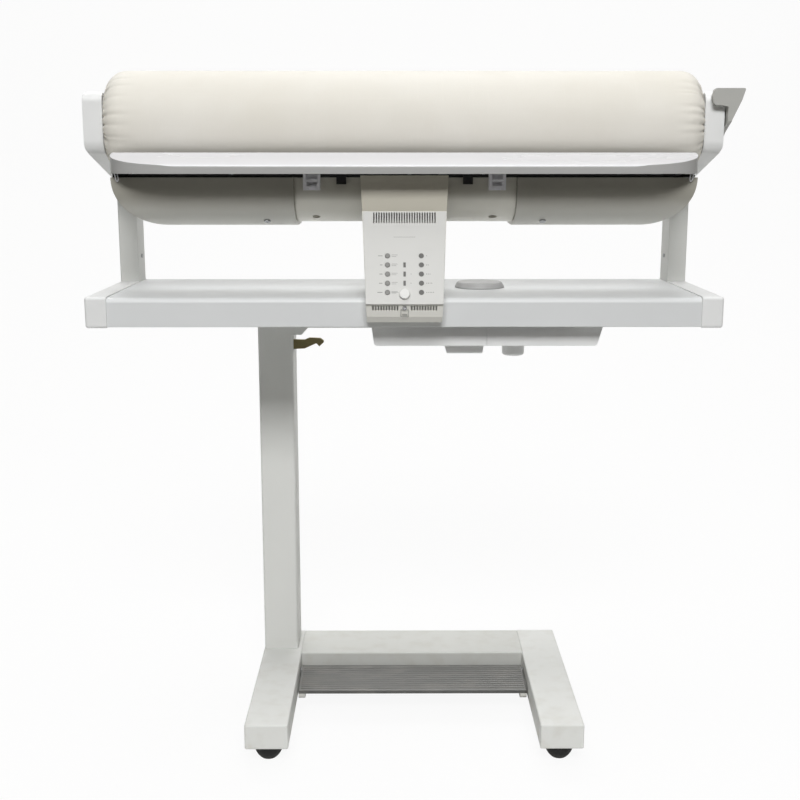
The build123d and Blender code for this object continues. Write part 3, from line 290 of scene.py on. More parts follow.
bareMetals = {                                 # run is the direction the metal was worked in
    "steel_bright": {"colour": "b4b5b8", "run": (1, 0.04, 1), "scale": 900, "gloss": 0.24},
    "core_steel": {"colour": "94969a", "run": (0.03, 1, 1), "scale": 700, "gloss": 0.38},
    "shoe_aluminium": {"colour": "c9cacb", "run": (0.02, 1, 1), "scale": 1000, "gloss": 0.20},
    "boiler_aluminium": {"colour": "a9aaab", "run": (1, 1, 1), "scale": 420, "gloss": 0.52},
    "latch_bronze": {"colour": "a0966f", "run": (1, 1, 1), "scale": 300, "gloss": 0.36},
}
metalLook = {"rounding": 0.0006, "edgeGain": 2.4, "edgeHighlightTone": 0.18, "edgeGloss": 0.05,
             "light": 0.93, "lineTone": 0.12, "lineGloss": 0.10, "stain": 34,
             "stainRange": (0.52, 0.80), "stainTone": 0.16, "stainGloss": 0.14,
             "stainMetal": 0.10, "pits": 420, "pitRange": (0.16, 0.02), "pitTone": 0.10,
             "pitDepth": 0.5, "depth": 0.00003, "strength": 0.6}


def bareMetal(name, metal):
    look = metalLook | metal
    finish = Finish(name)
    soft = finish.softEdges(look["rounding"])
    edge = finish.edges(soft, look["edgeGain"])
    lines = finish.cloud(look["scale"], 3.0, look["run"])
    stain = finish.ramp(finish.cloud(look["stain"], 4.0), *look["stainRange"])
    pits = finish.ramp(finish.cells(look["pits"])["Distance"], *look["pitRange"])
    colour = finish.base(look["colour"], look["light"] + lines * look["lineTone"])
    # darker in stains and pits; painted highlight: sharp edges are lightened
    colour = finish.tint(colour, 1.0 - stain * look["stainTone"] - pits * look["pitTone"]
                         + edge * look["edgeHighlightTone"])
    rough = (look["gloss"] + lines * look["lineGloss"] + stain * look["stainGloss"]
             - edge * look["edgeGloss"])
    normal = finish.relief(lines - pits * look["pitDepth"], look["depth"], look["strength"],
                           soft)
    return finish.feed(Base_Color=colour, Roughness=rough,
                       Metallic=1.0 - stain * look["stainMetal"], Normal=normal)


treadleLook = {"colour": "7b7b79", "groove": "4a4a48", "dust": "a6a29a", "gloss": 0.34,
               "rounding": 0.0004, "brush": 900, "brushRun": (0.03, 1, 1), "light": 0.88,
               "brushTone": 0.24, "grit": 60, "gritRun": (0.4, 1, 1),
               "gritRange": (0.45, 0.75), "gritTone": 0.22, "gritMetal": 0.25,
               "flatRange": (0.35, 0.9), "wallTone": 0.55, "wallGloss": 0.15, "metal": 0.55,
               "depth": 0.00004, "strength": 0.6}


def treadleMetal(name, look):                  # ribbed plate; faces that do not look up are darkened as painted shade
    finish = Finish(name)
    soft = finish.softEdges(look["rounding"])
    brushed = finish.cloud(look["brush"], 3.0, look["brushRun"])
    grit = finish.ramp(finish.cloud(look["grit"], 5.0, look["gritRun"]), *look["gritRange"])
    shadedWalls = 1 - finish.ramp(finish.axis("Z", finish.facing()), *look["flatRange"])
    colour = finish.base(look["colour"], look["light"] + brushed * look["brushTone"])
    # painted shade: faces turned away from above are darkened
    colour = finish.mix(shadedWalls * look["wallTone"], colour, tone(look["groove"]))
    colour = finish.mix(grit * look["gritTone"], colour, tone(look["dust"]))
    rough = look["gloss"] + grit * look["gritTone"] + shadedWalls * look["wallGloss"]
    normal = finish.relief(brushed, look["depth"], look["strength"], soft)
    return finish.feed(Base_Color=colour, Roughness=rough,
                       Metallic=look["metal"] - grit * look["gritMetal"], Normal=normal)


rubberLook = {"colour": "19191a", "dust": "5d5a55", "grain": 900, "rounding": 0.0012,
              "dusty": 70, "dustyRange": (0.50, 0.80), "dustTop": 0.012, "light": 0.85,
              "mottle": 18, "mottleTone": 0.4, "dustTone": 0.18, "lowTone": 0.20,
              "gloss": 0.56, "grainGloss": 0.08, "depth": 0.00006, "strength": 0.6}


def rubber(name, look):
    finish = Finish(name)
    soft = finish.softEdges(look["rounding"])
    grain = finish.cells(look["grain"])["Distance"]
    dusty = finish.ramp(finish.cloud(look["dusty"], 4.0), *look["dustyRange"])
    low = finish.ramp(finish.axis("Z"), look["dustTop"], 0.0)
    mottle = finish.cloud(look["mottle"], 3.0)
    colour = finish.base(look["colour"], look["light"] + mottle * look["mottleTone"])
    colour = finish.mix(dusty * look["dustTone"] + low * look["lowTone"], colour,
                        tone(look["dust"]))
    rough = look["gloss"] + dusty * look["dustTone"] + grain * look["grainGloss"]
    normal = finish.relief(grain, look["depth"], look["strength"], soft)
    return finish.feed(Base_Color=colour, Roughness=rough, Normal=normal)


lensLook = {"colour": "6c6c6a", "middle": "929290", "gloss": 0.55, "ior": 1.49,
            "specular": 0.15, "rounding": 0.0005, "cloudy": 160, "prism": 4200,
            "prismTone": 0.5, "light": 0.92, "cloudTone": 0.16, "cloudGloss": 0.1,
            "depth": 0.00005, "strength": 0.35}


def smokedLens(name, look):
    finish = Finish(name, IOR=look["ior"], Specular_IOR_Level=look["specular"])
    soft = finish.softEdges(look["rounding"])
    cloudy = finish.cloud(look["cloudy"], 3.0)
    across = (finish.axis("X") * look["prism"]).sine().size()
    prism = across * (finish.axis("Z") * look["prism"]).sine().size()
    colour = finish.mix(prism * look["prismTone"], tone(look["colour"]), tone(look["middle"]))
    colour = finish.tint(colour, look["light"] + cloudy * look["cloudTone"])
    return finish.feed(Base_Color=colour, Roughness=look["gloss"] + cloudy * look["cloudGloss"],
                       Normal=finish.relief(prism, look["depth"], look["strength"], soft))


boardLook = {"mask": "1d5a34", "track": "2f7a48", "pad": "b9b3a0", "pitch": 0.004,
             "padPitch": 0.00254, "wander": 170, "wanderTurn": 3.0, "trackRange": (0.80, 0.92),
             "padRange": (0.93, 0.97), "padPatches": 90, "padShare": 0.55, "gloss": 0.35,
             "fine": 300, "fineGloss": 0.15, "padGloss": 0.1, "padMetal": 0.8,
             "trackHeight": 0.6, "depth": 0.00008, "strength": 0.6}


def printedBoard(name, look):
    finish = Finish(name)
    x, z = finish.axis("X"), finish.axis("Z")
    wander = finish.cells(look["wander"])["Distance"]
    waves = x * (math.pi / look["pitch"]) + wander * look["wanderTurn"]
    tracks = finish.ramp(waves.sine().size(), *look["trackRange"])
    step = math.pi / look["padPitch"]
    rows = (x * step).sine().size() * (z * step).sine().size()
    filled = finish.cloud(look["padPatches"], 1.0) > look["padShare"]
    pads = finish.ramp(rows, *look["padRange"]) * filled
    colour = finish.mix(tracks, tone(look["mask"]), tone(look["track"]))
    colour = finish.mix(pads, colour, tone(look["pad"]))
    rough = (look["gloss"] + finish.cloud(look["fine"], 2.0) * look["fineGloss"]
             - pads * look["padGloss"])
    normal = finish.relief(tracks * look["trackHeight"] + pads, look["depth"],
                           look["strength"])
    return finish.feed(Base_Color=colour, Roughness=rough, Metallic=pads * look["padMetal"],
                       Normal=normal)


# the fold colour below is painted shade in the creases of the gathers
clothLook = {"colour": "e9e6de", "shade": "dad5c8", "fold": "80775f", "thread": 0.0009,
             "sheen": 0.25, "sheenGloss": 0.5, "specular": 0.25, "slubs": 240,
             "slubRuns": ((1, 0.03, 1), (0.03, 1, 1)), "slubRange": (0.55, 0.85),
             "wash": 7, "washRange": (0.35, 0.75), "washTone": 0.35, "foldTone": 0.62,
             "light": 0.955, "weaveTone": 0.045, "slub": 0.5, "slubTone": 0.03,
             "gloss": 0.86, "weaveGloss": 0.06, "slubHeight": 0.4, "depth": 0.00012,
             "strength": 0.55}


def cottonCloth(name, look):                   # plain weave on the piece's own flat map
    finish = Finish(name, Sheen_Weight=look["sheen"], Sheen_Roughness=look["sheenGloss"],
                    Specular_IOR_Level=look["specular"])
    flat = finish.node("ShaderNodeUVMap", {"uv_map": "weave"}, {})
    u, v = finish.axis("X", flat), finish.axis("Y", flat)
    step = math.pi / look["thread"]
    across, along = (u * step).sine(), (v * step).sine()
    over = across * along > 0.0
    weave = over * across.size() + (1 - over) * along.size()
    weft, warp = (finish.ramp(finish.cloud(look["slubs"], 3.0, run, flat), *look["slubRange"])
                  for run in look["slubRuns"])
    slub = weft + warp
    wash = finish.ramp(finish.cloud(look["wash"], 4.0), *look["washRange"])
    creaseShade = finish.node("ShaderNodeAttribute", {"attribute_name": "creaseShade"}, {})["Fac"]
    colour = finish.mix(wash * look["washTone"], tone(look["colour"]), tone(look["shade"]))
    # painted shade: the folds of the gathers are darkened
    colour = finish.mix(creaseShade * look["foldTone"], colour, tone(look["fold"]))
    colour = finish.tint(colour, look["light"] + weave * look["weaveTone"]
                         + slub * look["slub"] * look["slubTone"])
    rough = look["gloss"] + weave * look["weaveGloss"] - slub * look["slubTone"]
    normal = finish.relief(weave + slub * look["slubHeight"], look["depth"], look["strength"])
    return finish.feed(Base_Color=colour, Roughness=rough, Normal=normal)


threadLook = {"colour": "cdc6b4", "sheen": 0.3, "twist": 5200, "light": 0.86,
              "twistTone": 0.2, "fibres": 500, "fibreTone": 0.1, "gloss": 0.75,
              "twistGloss": 0.1, "depth": 0.0001, "strength": 0.5}


def spunThread(name, look):
    finish = Finish(name, Sheen_Weight=look["sheen"])
    step = look["twist"]
    turns = finish.axis("X") * step + finish.axis("Z") * step + finish.axis("Y") * step
    twist = turns.sine()
    shade = finish.base(look["colour"], look["light"] + twist.size() * look["twistTone"]
                        + finish.cloud(look["fibres"]) * look["fibreTone"])
    return finish.feed(Base_Color=shade,
                       Roughness=look["gloss"] + twist.size() * look["twistGloss"],
                       Normal=finish.relief(twist, look["depth"], look["strength"]))


printLook = {"colour": "6c6c69", "worn": "c9c9c5", "wear": 900, "wearRange": (0.60, 0.75),
             "wearTone": 0.35, "gloss": 0.42, "wearGloss": 0.2, "ink": 1600,
             "depth": 0.00001, "strength": 0.5}


def screenPrint(name, look):                   # thin printed marks with a slightly worn edge
    finish = Finish(name)
    wear = finish.ramp(finish.cloud(look["wear"], 3.0), *look["wearRange"])
    colour = finish.mix(wear * look["wearTone"], tone(look["colour"]), tone(look["worn"]))
    normal = finish.relief(finish.cloud(look["ink"], 2.0), look["depth"], look["strength"])
    return finish.feed(Base_Color=colour, Roughness=look["gloss"] + wear * look["wearGloss"],
                       Normal=normal)


finishes = {name: enamel(name, look) for name, look in paints.items()}
finishes |= {name: moulding(name, look) for name, look in mouldings.items()}
finishes |= {name: bareMetal(name, look) for name, look in bareMetals.items()}
for name, make, look in (("board_laminate", boardLaminate, laminateLook),
                         ("treadle_paint", treadleMetal, treadleLook),
                         ("rubber_black", rubber, rubberLook),
                         ("lens_plastic", smokedLens, lensLook),
                         ("board_green", printedBoard, boardLook),
                         ("roller_cloth", cottonCloth, clothLook),
                         ("seam_thread", spunThread, threadLook),
                         ("panel_print", screenPrint, printLook)):
    finishes[name] = make(name, look)
ownLook = {"feed_board": "board_laminate", "centre_shoe_cover": "centre_paint",
           "control_housing": "housing_plastic", "start_button": "button_plastic",
           "base_crossbar": "crossbar_paint"}
for part in frame["record"]["subparts"]:
    piece = nodes[part["node"]]
    piece.data.materials.clear()
    look = ownLook.get(part["node"], part["material_slot"])
    piece.data.materials.append(finishes[look])
print("finishes:", len(finishes))


# ---- shared helpers for the new pieces

def linked(name, data):                        # a new object in the scene
    piece = bpy.data.objects.new(name, data)
    bpy.context.scene.collection.objects.link(piece)
    return piece


def meshPiece(name, verts, faces, material, smooth=True):
    mesh = bpy.data.meshes.new(name)
    mesh.from_pydata([tuple(v) for v in verts], [], faces)
    mesh.validate()
    mesh.materials.append(material)
    mesh.polygons.foreach_set("use_smooth", [smooth] * len(mesh.polygons))
    return linked(name, mesh)


def evaluated(piece):                          # the piece as a plain mesh, modifiers applied
    view = bpy.context.evaluated_depsgraph_get()
    return bpy.data.meshes.new_from_object(piece.evaluated_get(view))


def outward(mesh, weld=0.0):                   # close points joined, then normals turned out
    shape = bmesh.new()
    shape.from_mesh(mesh)
    if weld:
        bmesh.ops.remove_doubles(shape, verts=shape.verts, dist=weld)
    bmesh.ops.recalc_face_normals(shape, faces=shape.faces)
    shape.to_mesh(mesh)
    shape.free()


def prism(verts, faces, low, high):            # closed solid between two rings of corners
    first, count = len(verts), len(low)
    verts += low + high
    faces.append(tuple(range(first + count, first + 2 * count)))
    faces.append(tuple(reversed(range(first, first + count))))
    for i in range(count):
        n = (i + 1) % count
        faces.append((first + i, first + n, first + n + count, first + i + count))


def slope(top, low):                           # down a sloping face, and out of it in front
    down = (low - top).normalized()
    out = down.cross(Vector((1, 0, 0))).normalized()
    if out.y > 0:
        out.negate()
    return down, out


headMiddle = -0.01265                          # x of the middle of the roller and panel


# ---- padded cotton cover of the roller, drawn in at both ends

cover = {"radius": 0.0749, "half": 0.4146, "round": 0.028, "opening": 0.0302, "lining": 0.4053,
         "inside": 0.0652, "turns": 480, "bodySteps": 45, "roundSteps": 14, "endSteps": 6,
         "liningSteps": 3, "lipDrop": 0.0012, "lipInset": 0.0004, "reach": 0.020,
         "shoulderPull": 0.34, "roundPull": 0.60, "endPull": (0.8, 0.2), "liningPull": 0.2,
         "ripple": 0.00022, "rippleSink": 1.3, "wave": (9, 1.4), "fine": (60, 9),
         "fineShare": 0.35, "tiny": 0.001}
pleats = {"count": 34, "depth": 0.0044, "jitter": 0.38, "width": (0.018, 0.05),
          "draw": (0.25, 0.85), "deep": (0.032, 1.9), "spread": 0.8, "most": 2.0,
          # shade scales the painted shade stored for each fold
          "flatter": 0.6, "shade": 0.68,
          "right": {"seed": 11, "heights": (-0.012, -0.033, 0.058)},
          "left": {"seed": 16, "heights": (0.052, -0.030, -0.044, 0.066)}}
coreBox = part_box("roller_core")
axisY = (coreBox[0].y + coreBox[1].y) / 2
axisZ = (coreBox[0].z + coreBox[1].z) / 2
middleX = (coreBox[0].x + coreBox[1].x) / 2


def pleatSet(seed, heights):                   # angle, half width and depth of each fold
    pick = random.Random(seed)
    folds = []
    for i in range(pleats["count"]):
        shifted = i + pick.uniform(-pleats["jitter"], pleats["jitter"])
        angle = shifted * 2 * math.pi / pleats["count"]
        folds.append((angle, pick.uniform(*pleats["width"]), pick.uniform(*pleats["draw"])))
    for height in heights:                     # the deepest folds, by height over the axis
        folds.append((math.pi + math.asin(height / cover["radius"]), *pleats["deep"]))
    return folds


foldSets = {1: pleatSet(**pleats["right"]), -1: pleatSet(**pleats["left"])}


def pleatAt(folds, angle, spread):
    total = 0.0
    for middle, width, depth in folds:
        away = (angle - middle + math.pi) % (2 * math.pi) - math.pi
        wide = width * (1 + spread)
        if abs(away) < 3 * wide:
            total += depth * math.exp(-(away / wide) ** 2)
    return min(total, pleats["most"])


def coverProfile():                            # (x from the middle, radius, pull) of one half
    r, half, bend = cover["radius"], cover["half"], cover["round"]
    opening, lining = cover["opening"], cover["lining"]
    shoulder = half - bend
    drawn, eased = cover["endPull"]
    line = []
    for i in range(cover["bodySteps"] + 1):
        x = shoulder * i / cover["bodySteps"]
        pull = max(0.0, 1 - (shoulder - x) / cover["reach"]) ** 2 * cover["shoulderPull"]
        line.append((x, r, pull))
    for i in range(1, cover["roundSteps"] + 1):
        turn = i / cover["roundSteps"] * math.pi / 2
        line.append((shoulder + bend * math.sin(turn), r - bend * (1 - math.cos(turn)),
                     cover["shoulderPull"] + cover["roundPull"] * i / cover["roundSteps"]))
    for i in range(1, cover["endSteps"] + 1):
        line.append((half, r - bend - (r - bend - opening) * i / cover["endSteps"],
                     drawn + eased * i / cover["endSteps"]))
    line.append((half - cover["lipDrop"], opening - cover["lipInset"], drawn))
    for i in range(1, cover["liningSteps"] + 1):
        line.append((half - (half - lining) * i / cover["liningSteps"], opening,
                     cover["liningPull"]))
    line.append((lining, (opening + cover["inside"]) / 2, 0.0))
    line.append((lining, cover["inside"], 0.0))
    return line


def clothNoise(x, angle, scale):               # one size of unevenness round the cloth
    along, across = scale
    return noise.noise(Vector((x * along, math.cos(angle) * across, math.sin(angle) * across)))


def coverSpot(x, r, pull, angle):              # a point of the gathered cloth, and its fold
    tiny = cover["tiny"]
    folds = foldSets[1 if x >= 0 else -1]
    fold = pleatAt(folds, angle, pleats["spread"] * (1 - pull)) * pull if pull else 0.0
    inward = pleats["depth"] * fold
    bumpy = 0.0
    if r > cover["radius"] - cover["round"] - tiny and abs(x) <= cover["half"] - tiny / 10:
        waves = (clothNoise(x, angle, cover["wave"])
                 + cover["fineShare"] * clothNoise(x, angle, cover["fine"]))
        bumpy = cover["ripple"] * (waves - cover["rippleSink"])
    away = max(0.0, (abs(x) - (cover["half"] - cover["round"])) / cover["round"])
    shift = -inward * away * math.copysign(1, x) if abs(x) > cover["lining"] + tiny else 0
    radius = r - inward * (1 - pleats["flatter"] * away) + bumpy
    if r <= cover["opening"] + tiny:
        radius, shift = r, 0.0
    return (middleX + x + shift, axisY - radius * math.cos(angle),
            axisZ + radius * math.sin(angle)), fold


def rollerCover():
    half = coverProfile()
    line = [(-x, r, pull) for x, r, pull in reversed(half[1:])] + half
    count, rounds = len(line), cover["turns"]
    verts, maps, creaseShades = [], [], []
    length = 0.0
    for j, (x, r, pull) in enumerate(line):
        if j:
            length += math.hypot(x - line[j - 1][0], r - line[j - 1][1])
        for i in range(rounds):
            angle = 2 * math.pi * i / rounds
            spot, fold = coverSpot(x, r, pull, angle)
            verts.append(spot)
            maps.append((angle * cover["radius"], length))
            # painted shade: how dark each point of the cloth is painted, from its fold
            creaseShades.append(min(1.0, (fold * pleats["shade"]) ** 2))
    faces = []
    for j in range(count):
        k = (j + 1) % count
        for i in range(rounds):
            n = (i + 1) % rounds
            faces.append((j * rounds + i, j * rounds + n, k * rounds + n, k * rounds + i))
    piece = meshPiece("padded_cover", verts, faces, finishes["roller_cloth"])
    mesh = piece.data
    creaseShade = mesh.attributes.new("creaseShade", "FLOAT", "POINT")
    creaseShade.data.foreach_set("value", creaseShades)
    weave = mesh.uv_layers.new(name="weave")
    halfRound = math.pi * cover["radius"]
    for polygon in mesh.polygons:
        turn = [maps[mesh.loops[n].vertex_index][0] for n in polygon.loop_indices]
        wraps = max(turn) - min(turn) > halfRound
        for n, u in zip(polygon.loop_indices, turn):
            if wraps and u < halfRound:
                u += 2 * halfRound
            weave.data[n].uv = (u, maps[mesh.loops[n].vertex_index][1])
    outward(mesh)
    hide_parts("roller_cover")
    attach(piece, "roller")
    return piece


coverPiece = rollerCover()
print("roller cover:", len(coverPiece.data.polygons), "faces")


# ---- thread rows on the cover

stitching = {"Spacing": 0.0062, "Length": 0.0034, "Thickness": 0.0009, "Unevenness": 0.1,
             "Thread": finishes["seam_thread"]}
seams = {"ringTurn": 0.62, "angle": 168.0, "halfApart": 0.04, "sunk": 0.0001, "short": 0.004,
         "steps": 120}
bead = {"Segments": 6, "Rings": 5, "Radius": 0.5}
uneven = {"seed": 7, "least": 0.96}


def stitchTree():                              # small threads laid along a line of points
    tree = bpy.data.node_groups.new("stitchRow", "GeometryNodeTree")
    for name, side, kind in (("Line", "INPUT", "Geometry"), ("Row", "OUTPUT", "Geometry"),
                             ("Spacing", "INPUT", "Float"), ("Length", "INPUT", "Float"),
                             ("Thickness", "INPUT", "Float"), ("Unevenness", "INPUT", "Float"),
                             ("Thread", "INPUT", "Material")):
        tree.interface.new_socket(name, in_out=side, socket_type="NodeSocket" + kind)
    rows = Graph(tree)
    given = rows.node("NodeGroupInput", {}, {})
    curve = rows.node("GeometryNodeMeshToCurve", {}, {"Mesh": given["Line"]})
    points = rows.node("GeometryNodeCurveToPoints", {"mode": "LENGTH"},
                       {"Curve": curve, "Length": given["Spacing"]})
    turn = rows.node("FunctionNodeAlignRotationToVector", {"axis": "X"},
                     {"Vector": points["Tangent"]})
    drawn = rows.node("GeometryNodeMeshUVSphere", {}, bead)
    wobble = rows.node("FunctionNodeRandomValue", {"data_type": "FLOAT"},
                       {"Seed": uneven["seed"]})
    spread = rows.math("MULTIPLY_ADD", wobble, given["Unevenness"], uneven["least"])
    size = rows.node("ShaderNodeCombineXYZ", {}, {"X": given["Length"],
                                                  "Y": given["Thickness"],
                                                  "Z": given["Thickness"]})
    scale = rows.node("ShaderNodeVectorMath", {"operation": "SCALE"},
                      {0: size, "Scale": spread})
    laid = rows.node("GeometryNodeInstanceOnPoints", {},
                     {"Points": points["Points"], "Instance": drawn["Mesh"],
                      "Rotation": turn["Rotation"], "Scale": scale})
    solid = rows.node("GeometryNodeRealizeInstances", {}, {"Geometry": laid})
    colour = rows.node("GeometryNodeSetMaterial", {}, {"Geometry": solid,
                                                       "Material": given["Thread"]})
    rows.node("NodeGroupOutput", {}, {"Row": colour})
    return tree


def stitchLines(name, lines, look):            # lines are (points, closed) pairs
    verts, joins = [], []
    for line, closed in lines:
        first = len(verts)
        verts += line
        joins += [(first + i, first + i + 1) for i in range(len(line) - 1)]
        if closed:
            joins.append((len(verts) - 1, first))
    mesh = bpy.data.meshes.new(name)
    mesh.from_pydata(verts, joins, [])
    piece = linked(name, mesh)
    row = piece.modifiers.new("row", "NODES")
    row.node_group = stitchTree()
    for socket in row.node_group.interface.items_tree:
        if socket.in_out == "INPUT" and socket.name in look:
            row[socket.identifier] = look[socket.name]
    plain = evaluated(piece)
    piece.modifiers.clear()
    piece.data = plain
    plain.polygons.foreach_set("use_smooth", [True] * len(plain.polygons))
    return piece


def coverStitches():
    lines = []
    turn = seams["ringTurn"] * math.pi / 2
    x = cover["half"] - cover["round"] * (1 - math.sin(turn))
    r = cover["radius"] - cover["round"] * (1 - math.cos(turn))
    pull = cover["shoulderPull"] + cover["roundPull"] * seams["ringTurn"]
    for side in (-1, 1):                       # a ring that follows the gathers at each end
        lines.append(([coverSpot(side * x, r, pull, 2 * math.pi * i / cover["turns"])[0]
                       for i in range(cover["turns"])], True))
    reach = cover["half"] - cover["round"] - seams["short"]
    radius = cover["radius"] - seams["sunk"]
    half = seams["steps"] // 2
    for row in (-1, 1):                        # lapped seam along the back
        angle = math.radians(seams["angle"]) + row * seams["halfApart"]
        lines.append(([(middleX + reach * (i / half - 1), axisY - radius * math.cos(angle),
                        axisZ + radius * math.sin(angle))
                       for i in range(seams["steps"] + 1)], False))
    piece = stitchLines("cover_stitches", lines, stitching)
    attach(piece, "roller")


coverStitches()
print("cover stitches done")


# ---- printed marks of the control panel

marks = {"top": Vector((0, -0.113, 0.7725)), "low": Vector((0, -0.163, 0.654)),
         "back": 0.00001, "thick": 0.00012, "first": 0.0620, "pitch": 0.0126,
         "rule": (-0.0145, 0.0145, 0.0357, 0.0360), "line": 0.0004,
         "left": -0.0292, "leftWide": (0.0060, 0.0034, 0.0040, 0.0046, 0.0066),
         "words": ((-0.0172, -0.0092, -0.0014), (-0.0172, -0.0110, 0.0008)),
         "underline": (-0.0172, -0.0080, 0.0002), "heat": 0.0292, "heatPitch": 0.0022,
         "heatRadius": 0.00055, "spot": 0.0085, "spotRows": (2, 3), "spotRadius": 0.0005,
         "dotSides": 12}
panelDown, panelOut = slope(marks["top"], marks["low"])


def onPanel(x, drop, out):
    return Vector((headMiddle + x, 0, 0)) + marks["top"] + panelDown * drop + panelOut * out


def panelMarks():
    verts, faces = [], []

    def printed(corners):                      # one flat mark from its outline on the panel
        prism(verts, faces, *([onPanel(x, d, out) for x, d in corners]
                              for out in (marks["back"], marks["thick"])))

    def plate(x0, x1, d0, d1):
        printed([(x0, d0), (x1, d0), (x1, d1), (x0, d1)])

    def dot(x, d, radius):
        turns = [i * 2 * math.pi / marks["dotSides"] for i in range(marks["dotSides"])]
        printed([(x + radius * math.cos(a), d + radius * math.sin(a)) for a in turns])

    left, line = marks["left"], marks["line"]
    plate(*marks["rule"])                      # thin rule over the two columns
    for row, wide in enumerate(marks["leftWide"]):
        d = marks["first"] + marks["pitch"] * row
        plate(left - wide, left, d - line, d + line)
        for start, stop, drop in marks["words"]:
            plate(start, stop, d + drop, d + drop + line)
        for spot in range(row + 1):            # one to five heat dots beside each lamp
            dot(marks["heat"] + marks["heatPitch"] * spot, d, marks["heatRadius"])
    start, stop, thin = marks["underline"]
    last = marks["first"] + marks["pitch"] * (len(marks["leftWide"]) - 1)
    plate(start, stop, last - thin, last + thin)
    for row in marks["spotRows"]:
        dot(marks["spot"], marks["first"] + marks["pitch"] * row, marks["spotRadius"])
    piece = meshPiece("panel_marks", verts, faces, finishes["panel_print"], False)
    outward(piece.data)
    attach(piece, "head")


panelMarks()
print("panel marks done")


# ---- bent wires that hold both ends of the feed board to the shoe

springs = {"radius": 0.0009, "reach": 0.3864, "roundness": 3, "weld": 0.00002,
           "path": ((0.0024, -0.1000, 0.8262), (0.0012, -0.0988, 0.8190),
                    (0.0002, -0.0970, 0.8136), (-0.0012, -0.0966, 0.8120),
                    (-0.0024, -0.0970, 0.8138), (-0.0018, -0.0970, 0.8200),
                    (-0.0008, -0.0905, 0.8292), (0.0, -0.0835, 0.8345),
                    (0.0, -0.0776, 0.8360), (0.0, -0.0770, 0.8400),
                    (0.0, -0.0810, 0.8422), (0.0, -0.0846, 0.8398))}


def wireTube(name, path, material):
    curve = bpy.data.curves.new(name, "CURVE")
    curve.dimensions = "3D"
    curve.bevel_depth = springs["radius"]
    curve.bevel_resolution = springs["roundness"]
    curve.use_fill_caps = True
    spline = curve.splines.new("BEZIER")
    spline.bezier_points.add(len(path) - 1)
    for point, spot in zip(spline.bezier_points, path):
        point.co = spot
        point.handle_left_type = point.handle_right_type = "AUTO"
    drawn = linked(name + "_line", curve)
    mesh = evaluated(drawn)
    bpy.data.objects.remove(drawn)
    mesh.materials.clear()
    mesh.materials.append(material)
    mesh.polygons.foreach_set("use_smooth", [True] * len(mesh.polygons))
    outward(mesh, springs["weld"])
    return linked(name, mesh)


def hingeWires():
    for side, name in ((-1, "left_hinge_wire"), (1, "right_hinge_wire")):
        path = [(headMiddle + side * (springs["reach"] + x), y, z)
                for x, y, z in springs["path"]]
        piece = wireTube(name, path, finishes["white_plastic"])
        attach(piece, "shoe")


hingeWires()
print("hinge wires done")


# ---- short rubber ends of the dark strip, beyond the bridge

lips = {"low": (0.3730, -0.0924, 0.8171), "high": (0.3915, -0.0890, 0.8213), "round": 0.0008,
        "roundSteps": 3}


def bridgeLips():
    middle = [(low + high) / 2 for low, high in zip(lips["low"], lips["high"])]
    span = [high - low for low, high in zip(lips["low"], lips["high"])]
    for side, name in ((-1, "left_bridge_lip"), (1, "right_bridge_lip")):
        shape = bmesh.new()
        bmesh.ops.create_cube(shape, size=1.0)
        for corner in shape.verts:
            corner.co = [m + c * s for m, c, s in zip(middle, corner.co, span)]
            corner.co.x = headMiddle + side * corner.co.x
        bmesh.ops.bevel(shape, geom=shape.edges[:], offset=lips["round"],
                        segments=lips["roundSteps"], affect="EDGES")
        bmesh.ops.recalc_face_normals(shape, faces=shape.faces)
        mesh = bpy.data.meshes.new(name)
        shape.to_mesh(mesh)
        shape.free()
        mesh.materials.append(finishes["rubber_black"])
        piece = linked(name, mesh)
        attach(piece, "shoe")


bridgeLips()
print("bridge lips done")


# ---- ribbed catch round the screw of the slotted strip

catch = {"half": 0.0054, "top": Vector((0, -0.15865, 0.6470)),
         "low": Vector((0, -0.15612, 0.6362)), "rim": 0.0009, "sunk": -0.0002,
         "proud": 0.0006, "draw": 0.00012, "ribs": (0.62, 0.78), "ribInset": 0.002}


def stripCatch():
    down, out = slope(catch["top"], catch["low"])
    long, half, rim = (catch["low"] - catch["top"]).length, catch["half"], catch["rim"]
    bars = [(-half, half, 0.0, rim), (-half, half, long - rim, long),
            (-half, -half + rim, rim, long - rim), (half - rim, half, rim, long - rim)]
    inset = half - catch["ribInset"]
    bars += [(-inset, inset, long * at, long * at + rim) for at in catch["ribs"]]
    verts, faces = [], []
    for x0, x1, d0, d1 in bars:
        rings = []
        for lift, draw in ((catch["sunk"], 0.0), (catch["proud"], catch["draw"])):
            corners = ((x0 + draw, d0 + draw), (x1 - draw, d0 + draw),
                       (x1 - draw, d1 - draw), (x0 + draw, d1 - draw))
            rings.append([catch["top"] + Vector((headMiddle + x, 0, 0)) + down * d + out * lift
                          for x, d in corners])
        prism(verts, faces, *rings)
    piece = meshPiece("strip_catch", verts, faces, finishes["handle_plastic"], False)
    outward(piece.data)
    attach(piece, "head")


stripCatch()
print("strip catch done")


# ---- stage, light and camera

stage = {"floor": "e4e4e3", "width": 7.0, "front": -0.9, "back": 2.6, "rise": 3.4, "bend": 0.9,
         "bendSteps": 16, "under": 0.0004, "show": 0.92, "gloss": 0.85, "specular": 0.1,
         "light": 0.985, "drift": 3, "driftTone": 0.03}
white = (1, 1, 1, 1)


